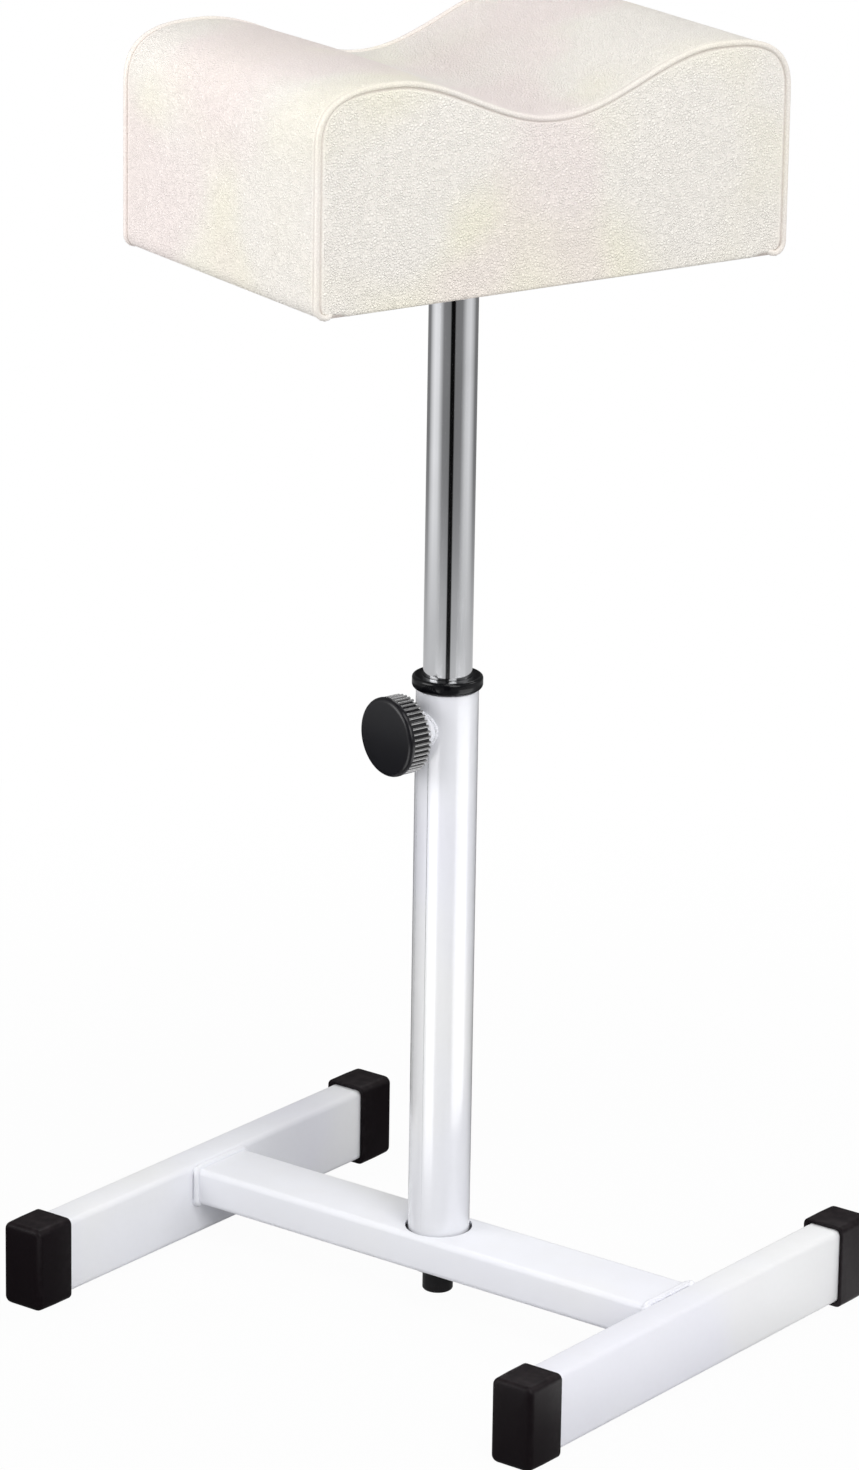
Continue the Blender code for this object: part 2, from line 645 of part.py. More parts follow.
def add_plate_screws(cushion):
    head, shank = SCREW_HEAD_DIAMETER / 2, SCREW_DIAMETER / 2
    head_top = -PLATE_THICKNESS - SEAT
    head_bottom = head_top - SCREW_HEAD_HEIGHT
    end = head_top + SCREW_LENGTH
    profile = [(0, end), (shank, end), (shank, head_top), (head, head_top)]
    profile += [(head, head_top - SCREW_HEAD_HEIGHT / 3)]
    profile += [(head - SCREW_HEAD_HEIGHT / 2, head_bottom), (0, head_bottom)]
    mesh = turned_mesh("plate_screw", profile, HIDDEN_STEPS)
    for number, (x, y) in enumerate(screw_places(), 1):
        new_part(f"plate_screw_{number}", mesh, ZINC_STEEL, cushion).location = (x, y, 0)


def add_tee_nuts(cushion):
    top = BOARD_DEPTH
    flange, barrel = TEE_NUT_DIAMETER / 2, TEE_NUT_BARREL_DIAMETER / 2
    bore = SCREW_DIAMETER / 2 + SEAT
    profile = [
        (flange, top),
        (flange, top - TEE_NUT_FLANGE),
        (barrel, top - TEE_NUT_FLANGE),
        (barrel, top - TEE_NUT_FLANGE - TEE_NUT_BARREL),
        (bore, top - TEE_NUT_FLANGE - TEE_NUT_BARREL),
        (bore, top),
    ]
    mesh = turned_mesh("tee_nut", profile, HIDDEN_STEPS, ring=True)
    for number, (x, y) in enumerate(screw_places(), 1):
        new_part(f"tee_nut_{number}", mesh, ZINC_STEEL, cushion).location = (x, y, 0)


def half_section(first_height):
    """The right half of the cushion's outline, up from first_height to the middle."""
    half, ridge = CUSHION_WIDTH / 2, RIDGE_SPACING / 2
    shoulder = RIDGE_HEIGHT - SHOULDER_DROP
    points = []
    if first_height < LOWER_CORNER:
        points.append((half - HEM_WIDTH, 0))
        points += arc(half - LOWER_CORNER, LOWER_CORNER, LOWER_CORNER, -90, 0)[:-1]
        first_height = LOWER_CORNER
    for share in SIDE_SHARES:
        points.append((half, first_height + (shoulder - first_height) * share))
    for step in range(SHOULDER_STEPS):
        angle = math.radians(90) * step / SHOULDER_STEPS
        across = math.cos(angle) ** (2 / SHOULDER_POWER)
        up = math.sin(angle) ** (2 / SHOULDER_POWER)
        points.append((ridge + (half - ridge) * across, shoulder + SHOULDER_DROP * up))
    for step in range(WAVE_STEPS + 1):
        share = 1 - step / WAVE_STEPS
        rise = (1 - math.cos(math.pi * share)) / 2
        points.append((ridge * share, VALLEY_HEIGHT + (RIDGE_HEIGHT - VALLEY_HEIGHT) * rise))
    return points


def section(first_height, inset, swell=0.0):
    """The whole outline, drawn in by inset and let out by swell above the board."""
    right = half_section(first_height)
    points = right + [(-x, z) for x, z in reversed(right[:-1])]
    moved = []
    for i, (x, z) in enumerate(points):
        before = points[max(i - 1, 0)]
        after = points[min(i + 1, len(points) - 1)]
        run, rise = after[0] - before[0], after[1] - before[1]
        length = math.hypot(run, rise)
        lift = min(max((z - BOARD_DEPTH) / (VALLEY_HEIGHT - BOARD_DEPTH), 0), 1)
        out = swell * lift * lift * (3 - 2 * lift) - inset
        moved.append((x + rise / length * out, z - run / length * out))
    return moved


def loft_mesh(name, rings, closed, capped=False):
    """Faces between rings of (across, along, up) points that run the same way round."""
    soup = bmesh.new()
    rows = [[soup.verts.new(point) for point in ring] for ring in rings]
    for row, following in zip(rows, rows[1:]):
        count = len(row)
        for i in range(count if closed else count - 1):
            j = (i + 1) % count
            soup.faces.new((row[i], row[j], following[j], following[i]))
    if capped:
        soup.faces.new(rows[0])
        soup.faces.new(list(reversed(rows[-1])))
    bmesh.ops.recalc_face_normals(soup, faces=soup.faces)
    mesh = bpy.data.meshes.new(name)
    soup.to_mesh(mesh)
    soup.free()
    smooth(mesh)
    return mesh


def thicken(obj):
    """Gives the surface of a cover its thickness, on the inner side."""
    solidify = obj.modifiers.new("thickness", "SOLIDIFY")
    solidify.thickness = COVER_THICKNESS
    solidify.offset = -1
    solidify.use_even_offset = True


def crown_share(share):
    """How much of the crown shows at this share of the half length."""
    return 1 - share * share


def core_stations(crown):
    """The (swell, inset, along) of each ring of a block that fills the cover, with rounded ends."""
    straight = CORE_REACH - CORE_EDGE
    round_end = []
    for step in range(1, CORNER_STEPS + 1):
        angle = math.radians(90) * step / CORNER_STEPS
        inset = CORE_INSET + CORE_EDGE * (1 - math.cos(angle))
        round_end.append((0.0, inset, straight + CORE_EDGE * math.sin(angle)))
    stations = [(swell, inset, -along) for swell, inset, along in reversed(round_end)]
    for share in RING_SHARES:
        stations.append((crown * crown_share(share), CORE_INSET, straight * share))
    return stations + round_end


def add_foam(cushion):
    """The foam, whose ends bulge like the end panels in front of them."""
    rings = []
    for swell, inset, along in core_stations(SIDE_CROWN):
        outline = section(FOAM_BOTTOM - CUSHION_BOTTOM, inset, swell)
        rings.append([(x, along, z) for x, z in outline])
    border = [(x, z) for x, along, z in rings[0]]
    for share in DOME_SHARES[1:]:
        along = CORE_REACH + END_CROWN * crown_share(share)
        scaled = [(x * share, PANEL_CENTRE + (z - PANEL_CENTRE) * share) for x, z in border]
        rings.insert(0, [(x, -along, z) for x, z in scaled])
        rings.append([(x, along, z) for x, z in scaled])
    mesh = loft_mesh("foam_block", rings, closed=True, capped=True)
    new_part("foam_block", mesh, FOAM, cushion)


def add_board(cushion):
    """The plywood board, let in for the tee nuts."""
    rings = []
    for swell, inset, along in core_stations(0.0):
        corner = section(0.0, inset)[1 : CORNER_STEPS + 2]
        right = corner + [(corner[-1][0], BOARD_DEPTH)]
        outline = right + [(-x, z) for x, z in reversed(right)]
        rings.append([(x, along, z) for x, z in outline])
    mesh = loft_mesh("base_board", rings, closed=True, capped=True)
    board = new_part("base_board", mesh, PLYWOOD, cushion)
    bore, recess = TEE_NUT_BARREL_DIAMETER / 2 + SEAT, TEE_NUT_DIAMETER / 2 + SEAT
    above, below = BOARD_DEPTH + OVERRUN, -OVERRUN
    floor = BOARD_DEPTH - TEE_NUT_FLANGE - SEAT
    profile = [(0, above), (recess, above), (recess, floor)]
    profile += [(bore, floor), (bore, below), (0, below)]
    for number, (x, y) in enumerate(screw_places(), 1):
        name = f"tee_nut_hole_{number}"
        hole = turned_mesh(name, profile, HIDDEN_STEPS)
        helper = make_cutter(new_part(name, hole, PLYWOOD), cushion)
        helper.location = (x, y, 0)
        boolean(board, helper, "DIFFERENCE")


def add_wrap(cushion):
    """The cover that runs up one side, over both lobes and down the other, with its hems."""
    reach = CUSHION_DEPTH / 2 - EDGE_SETBACK
    rings = []
    for share in RING_SHARES:
        outline = section(0.0, 0.0, SIDE_CROWN * crown_share(share))
        rings.append([(x, reach * share, z) for x, z in outline])
    mesh = loft_mesh("cover_wrap", rings, closed=False)
    thicken(new_part("cover_wrap", mesh, IVORY_LEATHER, cushion))


def end_panel_mesh():
    """The domed end of the cover, hemmed under the board between the wrap's hems."""
    reach = CUSHION_DEPTH / 2
    hem_end = CUSHION_WIDTH / 2 - HEM_WIDTH - SEAT
    outline = section(0.0, EDGE_SETBACK)[1:-1]
    outline += [(hem_end * share, EDGE_SETBACK) for share in HEM_SHARES]
    rings = []
    for share in DOME_SHARES:
        along = -reach - END_CROWN * crown_share(share)
        scaled = [(x * share, PANEL_CENTRE + (z - PANEL_CENTRE) * share) for x, z in outline]
        rings.append([(x, along, z) for x, z in scaled])
    soup = bmesh.new()
    rows = [[soup.verts.new(point) for point in ring] for ring in rings]
    for row, following in zip(rows, rows[1:]):
        for i in range(len(row)):
            j = (i + 1) % len(row)
            soup.faces.new((row[i], row[j], following[j], following[i]))
    soup.faces.new(rows[-1])
    hem = rows[0][-len(HEM_SHARES) :]
    fold = arc(-reach + EDGE_SETBACK, EDGE_SETBACK, EDGE_SETBACK, 180, 270)[1:]
    for along, up in fold + [(HEM_WIDTH - reach, 0)]:
        following = [soup.verts.new((vertex.co.x, along, up)) for vertex in hem]
        for i in range(len(hem) - 1):
            soup.faces.new((hem[i], hem[i + 1], following[i + 1], following[i]))
        hem = following
    bmesh.ops.recalc_face_normals(soup, faces=soup.faces)
    mesh = bpy.data.meshes.new("cover_end")
    soup.to_mesh(mesh)
    soup.free()
    smooth(mesh)
    return mesh


def add_end_panels(cushion):
    mesh = end_panel_mesh()
    for name, turn in (("cover_end_front", 0.0), ("cover_end_rear", math.pi)):
        panel = new_part(name, mesh, IVORY_LEATHER, cushion)
        panel.rotation_euler = (0, 0, turn)
        thicken(panel)


def add_pipings(cushion):
    """The round piping sewn between the wrap and each end, its ends tucked under the corners."""
    along = -(CUSHION_DEPTH / 2 - PIPING_SINK)
    path = [(x, along, z) for x, z in section(0.0, PIPING_SINK)[1:-1]]
    mesh = wire_mesh("piping", path, PIPING_RADIUS)
    for name, turn in (("piping_front", 0.0), ("piping_rear", math.pi)):
        new_part(name, mesh, IVORY_LEATHER, cushion).rotation_euler = (0, 0, turn)


def add_lining(cushion):
    """The dust cloth that closes the underside inside the hems."""
    width = CUSHION_WIDTH - 2 * HEM_WIDTH - 4 * SEAT
    depth = CUSHION_DEPTH - 2 * HEM_WIDTH - 2 * SEAT
    outline = rounded_rectangle(width, depth, SEAT)
    radius = SCREW_DIAMETER / 2 + 2 * SEAT
    holes = [circle(radius, x, y, HIDDEN_STEPS) for x, y in screw_places()]
    mesh = prism_mesh("lining_cloth", [outline] + holes, LINING_THICKNESS)
    lining = new_part("lining_cloth", mesh, LINING_CLOTH, cushion)
    lining.location = (0, 0, COVER_THICKNESS - LINING_THICKNESS / 2)


FRAME_EMPTY = new_empty("frame_axis")
COLUMN_EMPTY = new_empty("column_axis", turn=COLUMN_TURN)
CLAMP_EMPTY = new_empty("clamp_axis", height=CLAMP_HEIGHT, parent=COLUMN_EMPTY)
CLAMP_EMPTY.rotation_euler = (math.radians(90), 0, 0)
POST_EMPTY = new_empty("post_axis", height=POST_BOTTOM)
CUSHION_EMPTY = new_empty("cushion_axis", height=CUSHION_BOTTOM, turn=CUSHION_TURN)

add_legs(FRAME_EMPTY)
add_cross_tube(FRAME_EMPTY)
add_end_caps(FRAME_EMPTY)
add_column(COLUMN_EMPTY)
add_foot_plug(COLUMN_EMPTY)
add_base_fixings(COLUMN_EMPTY)
add_guide_collar(COLUMN_EMPTY)
add_clamp_boss(CLAMP_EMPTY)
add_clamp_pad(CLAMP_EMPTY)
add_clamp_stud(CLAMP_EMPTY)
add_clamp_knob(CLAMP_EMPTY)
add_post(POST_EMPTY)
add_post_end(POST_EMPTY)
add_mounting_plate(CUSHION_EMPTY)
add_plate_screws(CUSHION_EMPTY)
add_tee_nuts(CUSHION_EMPTY)
add_board(CUSHION_EMPTY)
add_foam(CUSHION_EMPTY)
add_wrap(CUSHION_EMPTY)
add_end_panels(CUSHION_EMPTY)
add_pipings(CUSHION_EMPTY)
add_lining(CUSHION_EMPTY)
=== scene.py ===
import json
import math

import bmesh
import bpy
from mathutils import Matrix, Vector, noise


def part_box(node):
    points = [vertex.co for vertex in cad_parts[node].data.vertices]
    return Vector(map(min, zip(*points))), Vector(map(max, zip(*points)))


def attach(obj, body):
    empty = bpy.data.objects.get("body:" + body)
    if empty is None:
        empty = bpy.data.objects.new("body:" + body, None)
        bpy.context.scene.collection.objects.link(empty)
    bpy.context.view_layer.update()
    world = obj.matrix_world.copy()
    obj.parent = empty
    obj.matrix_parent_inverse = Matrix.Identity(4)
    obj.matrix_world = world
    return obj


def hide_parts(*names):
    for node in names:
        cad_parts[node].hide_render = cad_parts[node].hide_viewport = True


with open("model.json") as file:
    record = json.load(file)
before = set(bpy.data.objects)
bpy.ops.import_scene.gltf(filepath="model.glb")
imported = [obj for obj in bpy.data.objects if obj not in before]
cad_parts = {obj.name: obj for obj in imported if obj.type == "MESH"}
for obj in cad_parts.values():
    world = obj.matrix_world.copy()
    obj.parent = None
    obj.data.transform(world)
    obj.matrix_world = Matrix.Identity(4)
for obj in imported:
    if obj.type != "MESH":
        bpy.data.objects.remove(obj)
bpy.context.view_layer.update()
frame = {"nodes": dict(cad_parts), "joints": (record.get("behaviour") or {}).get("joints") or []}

nodes = frame["nodes"]
joints = {joint["name"]: joint for joint in frame["joints"]}
upright = Vector((0, 0, 1))
samePlace, sameCorner = 0.000001, 0.000005  # points nearer than this are one, in a new mesh and a CAD mesh
print("stage: frame loaded")


def screenColour(colour, share=1.0):
    # a colour as a screen shows it, 0 to 255, made linear
    values = [min(255, value * share) / 255 for value in colour]
    return [v / 12.92 if v < 0.04045 else ((v + 0.055) / 1.055) ** 2.4 for v in values] + [1.0]


building = {"tree": None}


def put(kind, inputs=None, **settings):
    # adds a node to the tree being built; an input may be a number, a colour or another node's output
    tree = building["tree"]
    made = tree.nodes.new(kind if "Node" in kind else "ShaderNode" + kind)
    for name, value in settings.items():
        setattr(made, name, value)
    for name, value in (inputs or {}).items():
        if isinstance(value, bpy.types.NodeSocket):
            tree.links.new(value, made.inputs[name])
        else:
            made.inputs[name].default_value = value
    return made.outputs


def sums(operation, *values):
    return put("Math", dict(enumerate(values)), operation=operation)[0]


def product(first, second):
    return sums("MULTIPLY", first, second)


def scaled(value, factor, added):
    return sums("MULTIPLY_ADD", value, factor, added)


def vectors(operation, *values):
    return put("VectorMath", dict(enumerate(values)), operation=operation)[0]


def between(value, low, high, fromZero=0.0, toOne=1.0):
    # a smooth step from one value to another
    steps = {"Value": value, "From Min": low, "From Max": high, "To Min": fromZero, "To Max": toOne}
    return put("MapRange", steps, interpolation_type="SMOOTHSTEP")[0]


def clouds(place, scale, detail, **more):
    return put("TexNoise", {"Vector": place, "Scale": scale, "Detail": detail, **more})[0]


def blend(share, first, second):
    return put("Mix", {0: share, 2: first, 3: second})[0]


def blendColours(share, first, second):
    return put("Mix", {0: share, 6: first, 7: second}, data_type="RGBA")[2]


def newGroup(name, outputs, kind="Shader", **inputs):
    # an input is given by the value it starts with, or else by its kind
    tree = building["tree"] = bpy.data.node_groups.new(name, kind + "NodeTree")
    for label, value in inputs.items():
        socketKind = value if isinstance(value, str) else type(value).__name__.capitalize()
        socket = tree.interface.new_socket(label, in_out="INPUT", socket_type="NodeSocket" + socketKind)
        if socketKind != value:
            socket.default_value = value
    for label, socketKind in outputs.items():
        tree.interface.new_socket(label, in_out="OUTPUT", socket_type="NodeSocket" + socketKind)
    return put("NodeGroupInput")


def endGroup(**results):
    put("NodeGroupOutput", results)
    return building["tree"]


def useGroup(group, place, **inputs):
    return put("Group", {"vector": place, **inputs}, node_tree=group)


def reach(nodeName, direction, start=(0, 0, 0)):
    # the lowest and highest place of a CAD node along a direction
    places = [(corner.co - Vector(start)).dot(direction) for corner in nodes[nodeName].data.vertices]
    return min(places), max(places)


def newObject(name, data):
    made = bpy.data.objects.new(name, data)
    bpy.context.scene.collection.objects.link(made)
    return made


def newPiece(name, mesh, material, body, slotName, *standsFor):
    piece = newObject(name, mesh)
    if material.name not in mesh.materials:
        mesh.materials.append(material)
    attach(piece, body)
    if standsFor:
        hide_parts(*standsFor)
    return piece


def meshFrom(work, name, sharpAngle=35):
    mesh = bpy.data.meshes.new(name)
    work.to_mesh(mesh)
    work.free()
    mesh.shade_smooth()
    mesh.set_sharp_from_angle(angle=math.radians(sharpAngle))
    return mesh


def arc(centre, radius, start, end, steps):
    turns = [math.radians(start + (end - start) * step / steps) for step in range(steps + 1)]
    return [(centre[0] + radius * math.cos(a), centre[1] + radius * math.sin(a)) for a in turns]


def roundedBox(width, height, radius, steps=6):
    # corners of a rounded rectangle round the middle
    across, up = width / 2 - radius, height / 2 - radius
    points = []
    for number, (x, y) in enumerate([(across, up), (-across, up), (-across, -up), (across, -up)]):
        points += arc((x, y), radius, 90 * number, 90 * number + 90, steps)
    return points


def skin(name, rings, sharpAngle):
    # faces between rings of points that run the same way round, closed at both ends
    work = bmesh.new()
    rows = [[work.verts.new(point) for point in ring] for ring in rings]
    for row, following in zip(rows, rows[1:]):
        for i in range(len(row)):
            j = (i + 1) % len(row)
            work.faces.new((row[i], row[j], following[j], following[i]))
    work.faces.new(rows[0])
    work.faces.new(list(reversed(rows[-1])))
    bmesh.ops.recalc_face_normals(work, faces=work.faces)
    return meshFrom(work, name, sharpAngle)


def turned(name, profile, closed=True, sharpAngle=35, steps=96):
    # a profile of (radius, height) points turned round Z
    work = bmesh.new()
    rows = []
    for step in range(steps):
        angle = 2 * math.pi * step / steps
        rows.append([work.verts.new((r * math.cos(angle), r * math.sin(angle), z)) for r, z in profile])
    for i, row in enumerate(rows):
        following = rows[(i + 1) % steps]
        for j in range(len(profile) if closed else len(profile) - 1):
            k = (j + 1) % len(profile)
            work.faces.new((row[j], row[k], following[k], following[j]))
    bmesh.ops.remove_doubles(work, verts=work.verts, dist=samePlace)
    bmesh.ops.recalc_face_normals(work, faces=work.faces)
    return meshFrom(work, name, sharpAngle)


def mergedCopy(nodeName):
    # a CAD node's loose triangles, joined at their corners
    source, work = nodes[nodeName].data, bmesh.new()
    corners = [work.verts.new(corner.co) for corner in source.vertices]
    for face in source.polygons:
        work.faces.new([corners[i] for i in face.vertices])
    bmesh.ops.remove_doubles(work, verts=work.verts, dist=sameCorner)
    return work


# how far the sharp edges of a piece are rounded
edges = {"none": 0.0, "thin": 0.0001, "small": 0.0002, "plain": 0.0003, "full": 0.0004}


def refined(nodeName, name, material, body, slotName, edge="plain", sharpAngle=35):
    # a CAD node shaded smooth, with its sharp edges broken as on the real piece
    work = mergedCopy(nodeName)
    flat = math.radians(0.6)
    bmesh.ops.dissolve_limit(work, angle_limit=flat, verts=work.verts, edges=work.edges)
    piece = newPiece(name, meshFrom(work, name, sharpAngle), material, body, slotName, nodeName)
    if edges[edge]:
        bevel = piece.modifiers.new("softEdges", "BEVEL")
        bevel.width, bevel.segments = edges[edge], 2
        bevel.limit_method, bevel.angle_limit = "ANGLE", math.radians(sharpAngle)
        bevel.harden_normals = True


def grown(name, startMesh, tree, **values):
    # runs a Geometry Nodes tree on a mesh and returns the plain mesh that comes out
    carrier = newObject(name, startMesh)
    modifier = carrier.modifiers.new("tree", "NODES")
    modifier.node_group = tree
    for item in tree.interface.items_tree:
        if item.in_out == "INPUT" and item.name in values:
            modifier[item.identifier] = values[item.name]
    depsgraph = bpy.context.evaluated_depsgraph_get()
    mesh = bpy.data.meshes.new_from_object(carrier.evaluated_get(depsgraph))
    mesh.name = name
    carrier.modifiers.remove(modifier)
    bpy.data.objects.remove(carrier)
    return mesh


def pathMesh(name, points, cyclic=False):
    mesh = bpy.data.meshes.new(name)
    last = len(points) if cyclic else len(points) - 1
    mesh.from_pydata(points, [(i, (i + 1) % len(points)) for i in range(last)], [])
    return mesh


def makeSoftPatches():
    # slow drift of a colour towards two tints
    colours = {"main": "Color", "first": "Color", "second": "Color"}
    given = newGroup("softPatches", {"colour": "Color"}, vector="Vector", size=0.08, amount=0.5, **colours)
    scale = sums("DIVIDE", 1.0, given["size"])
    moved = vectors("ADD", given["vector"], (0.43, 0.17, 0.29))
    colour = given["main"]
    for place, tint in ((given["vector"], "first"), (moved, "second")):
        share = between(clouds(place, scale, 1.5), 0.46, 0.66)
        colour = blendColours(product(share, given["amount"]), colour, given[tint])
    return endGroup(colour=colour)


def makePebbleGrain():
    # small raised pebbles with narrow creases between them, for leather and moulded texture
    outputs = {"height": "Float", "crease": "Float"}
    given = newGroup("pebbleGrain", outputs, vector="Vector", cell=0.001, wander=0.5)
    slow = sums("DIVIDE", 0.45, given["cell"])
    wander = put("TexNoise", {"Vector": given["vector"], "Scale": slow, "Detail": 2.0})[1]
    centred = vectors("SUBTRACT", wander, (0.5, 0.5, 0.5))
    push = product(product(given["cell"], given["wander"]), 2.0)
    pushed = put("VectorMath", {0: centred, "Scale": push}, operation="SCALE")[0]
    place = vectors("ADD", given["vector"], pushed)
    fine = sums("DIVIDE", 1.0, given["cell"])
    edges = put("TexVoronoi", {"Vector": place, "Scale": fine}, feature="DISTANCE_TO_EDGE")["Distance"]
    pores = clouds(place, product(fine, 2.3), 2.0)
    height = scaled(pores, 0.2, between(edges, 0.0, 0.4))
    return endGroup(height=height, crease=between(edges, 0.02, 0.16, 1.0, 0.0))


def makeFineScratches():
    # thin straight marks along Z of the vector that is given
    outputs = {"mask": "Float", "height": "Float"}
    given = newGroup("fineScratches", outputs, vector="Vector", width=0.0004, length=0.03, share=0.3)
    across = sums("DIVIDE", 1.0, given["width"])
    along = sums("DIVIDE", 1.0, given["length"])
    stretch = put("CombineXYZ", {"X": across, "Y": across, "Z": along})[0]
    marks = clouds(vectors("MULTIPLY", given["vector"], stretch), 1.0, 2.0)
    low = scaled(given["share"], -0.3, 0.72)
    return endGroup(mask=between(marks, low, sums("ADD", low, 0.08)), height=product(marks, -1.0))


def makeOrangePeel():
    # the faint waviness of sprayed or powder paint
    given = newGroup("orangePeel", {"height": "Float"}, vector="Vector", size=0.0025)
    scale = sums("DIVIDE", 1.0, given["size"])
    wide = clouds(given["vector"], scale, 0.0)
    fine = clouds(given["vector"], product(scale, 3.1), 1.0)
    return endGroup(height=scaled(fine, 0.2, wide))


def facingUp():
    return put("SeparateXYZ", {0: put("NewGeometry")["Normal"]})["Z"]


def curveOf():
    # over a half on high edges and under it in hollows
    return put("NewGeometry")["Pointiness"]


def makeSurfaceMask(name, detail, low, high, shape):
    # a mask where the shape says so, broken up by clouds
    given = newGroup(name, {"mask": "Float"}, vector="Vector", size=0.005, amount=0.1)
    broken = clouds(given["vector"], sums("DIVIDE", 1.0, given["size"]), detail)
    mask = product(shape(), between(broken, low, high))
    return endGroup(mask=product(mask, given["amount"]))


softPatches = makeSoftPatches()
pebbleGrain = makePebbleGrain()
fineScratches = makeFineScratches()
orangePeel = makeOrangePeel()
# handling rubs the high edges, and what faces up takes another tint: paler on the black plastics, darker on
# the pale ones
edgeWear = makeSurfaceMask("edgeWear", 4.0, 0.35, 0.65, lambda: between(curveOf(), 0.51, 0.58))
upFacingTint = makeSurfaceMask("upFacingTint", 5.0, 0.3, 0.8, lambda: between(facingUp(), 0.2, 1.0))


def startFinish(name):
    material = bpy.data.materials.new(name)
    material.use_nodes = True
    building["tree"] = material.node_tree
    material.node_tree.nodes.clear()
    return material, put("TexCoord")["Object"]


def endFinish(material, values):
    put("OutputMaterial", {"Surface": put("BsdfPrincipled", values)[0]})
    return material


def patched(place, size, amount, main, first, second):
    return useGroup(softPatches, place, size=size, amount=amount, main=main, first=first, second=second)[0]


def masked(group, place, size, amount):
    return useGroup(group, place, size=size, amount=amount)[0]


def usedColour(place, look, shades, dust, dustAmount):
    # a colour that drifts between three shades, with its edges rubbed and what faces up tinted towards
    # another colour
    colour = patched(place, look["patch"], look["patchAmount"], *shades)
    rubbed = masked(edgeWear, place, look["rubbedSize"], look["rubbedAmount"])
    colour = blendColours(rubbed, colour, screenColour(look["rubbed"]))
    dusty = masked(upFacingTint, place, look["dustSize"], dustAmount)
    return blendColours(dusty, colour, screenColour(dust)), rubbed


def unevenly(place, scale, detail, middle, swing):
    # a roughness that swings slowly about its middle
    return scaled(clouds(place, scale, detail), swing, middle - swing / 2)


def bumpFrom(height, depth, strength=1.0):
    return put("Bump", {"Height": height, "Distance": depth, "Strength": strength})[0]


# the seam colour, the darkest one, is painted shade: it is laid in the grooves beside the piping and in the
# grain creases
leatherLook = {
    "main": (241, 237, 230), "yellow": (242, 238, 218), "pink": (240, 229, 226), "seamShade": (190, 179, 172),
    "patch": 0.1, "patchAmount": 0.9, "cell": 0.0015, "wander": 0.25, "creaseShadeShare": 0.24,
    "grainDepth": 0.00042, "roughness": 0.5, "swing": 0.16, "gloss": 0.4, "grooveShadeStart": 0.35,
    "grooveShadeShare": 0.9, "flatStart": 0.28, "flatFull": 0.38, "flatGrain": 0.3,
}


def makeLeather():
    look = leatherLook
    material, place = startFinish("ivoryLeather")
    names = ("main", "yellow", "pink", "seamShade")
    main, yellow, pink, shadeColour = (screenColour(look[name]) for name in names)
    ivory = patched(place, look["patch"], look["patchAmount"], main, yellow, pink)
    grain = useGroup(pebbleGrain, place, cell=look["cell"], wander=look["wander"])
    # painted shade: the grain creases are darkened towards the shade colour
    creaseShaded = blendColours(product(grain["crease"], look["creaseShadeShare"]), ivory, shadeColour)
    # the attribute rises towards the piping: the grain is pulled flat there, and painted shade darkens the
    # groove beside the piping
    seamShade = put("Attribute", attribute_name="seamShade")["Fac"]
    grooveShade = between(seamShade, look["grooveShadeStart"], 1.0, 0.0, look["grooveShadeShare"])
    flattened = between(seamShade, look["flatStart"], look["flatFull"], 1.0, look["flatGrain"])
    roughness = unevenly(place, 22.0, 2.0, look["roughness"], look["swing"])
    return endFinish(material, {
        "Base Color": blendColours(grooveShade, creaseShaded, shadeColour),
        "Roughness": scaled(grain["crease"], 0.1, roughness),
        "Specular IOR Level": look["gloss"],
        "Normal": bumpFrom(grain["height"], look["grainDepth"], flattened),
    })


paintLook = {
    "main": (238, 239, 244), "cool": (232, 232, 241), "warm": (240, 240, 238), "patch": 0.11,
    "patchAmount": 0.6, "rubbed": (206, 206, 212), "rubbedAmount": 0.04, "dust": (222, 220, 216),
    "dustAmount": 0.12, "peel": 0.0022, "peelDepth": 0.000004, "roughness": 0.5, "swing": 0.12,
    "gloss": 0.3, "coat": 0.12, "coatRoughness": 0.25, "coatIor": 1.45, "rubbedSize": 0.003,
    "dustSize": 0.02,
}
columnLook = dict(
    paintLook, main=(236, 237, 242), cool=(228, 228, 238), warm=(238, 238, 236), peelDepth=0.00002,
    roughness=0.3, coat=1.0, coatRoughness=0.13, coatIor=1.7,
)


def makePaint(name, look):
    material, place = startFinish(name)
    shades = [screenColour(look[name]) for name in ("main", "cool", "warm")]
    colour = usedColour(place, look, shades, look["dust"], look["dustAmount"])[0]
    peel = useGroup(orangePeel, place, size=look["peel"])[0]
    return endFinish(material, {
        "Base Color": colour,
        "Roughness": unevenly(place, 35.0, 3.0, look["roughness"], look["swing"]),
        "Specular IOR Level": look["gloss"],
        "Coat Weight": look["coat"],
        "Coat Roughness": look["coatRoughness"],
        "Coat IOR": look["coatIor"],
        "Normal": bumpFrom(peel, look["peelDepth"]),
    })


plasticLook = {
    "patch": 0.018, "patchAmount": 0.5, "rubbed": (88, 84, 86), "rubbedSize": 0.003, "rubbedAmount": 0.1,
    "dustSize": 0.005, "wander": 0.4, "swing": 0.14, "hollow": 0.44, "open": 0.51, "hollowShine": 0.12,
}


def makePlastic(name, main, dust, dustAmount, roughness, cell, depth, coat=0.0, gloss=0.5,
                coatRoughness=0.06, coatIor=1.5):
    # moulded plastic: fine mould texture, rubbed edges and a tint on what faces up
    look = plasticLook
    material, place = startFinish(name)
    shades = [screenColour(main, share) for share in (1.0, 1.12, 0.88)]
    colour, rubbed = usedColour(place, look, shades, dust, dustAmount)
    grain = useGroup(pebbleGrain, place, cell=cell, wander=look["wander"])
    coatWeight = 0.0
    if coat:
        # hollows hold grime and lose their shine
        coatWeight = product(between(curveOf(), look["hollow"], look["open"], look["hollowShine"]), coat)
    return endFinish(material, {
        "Base Color": colour,
        "Roughness": scaled(rubbed, -0.3, unevenly(place, 60.0, 3.0, roughness, look["swing"])),
        "Normal": bumpFrom(grain["height"], depth),
        "Specular IOR Level": gloss,
        "Coat Weight": coatWeight,
        "Coat Roughness": coatRoughness,
        "Coat IOR": coatIor,
    })


metalLook = {"patch": 0.03, "share": 0.35, "haze": 0.6, "marked": 0.06}


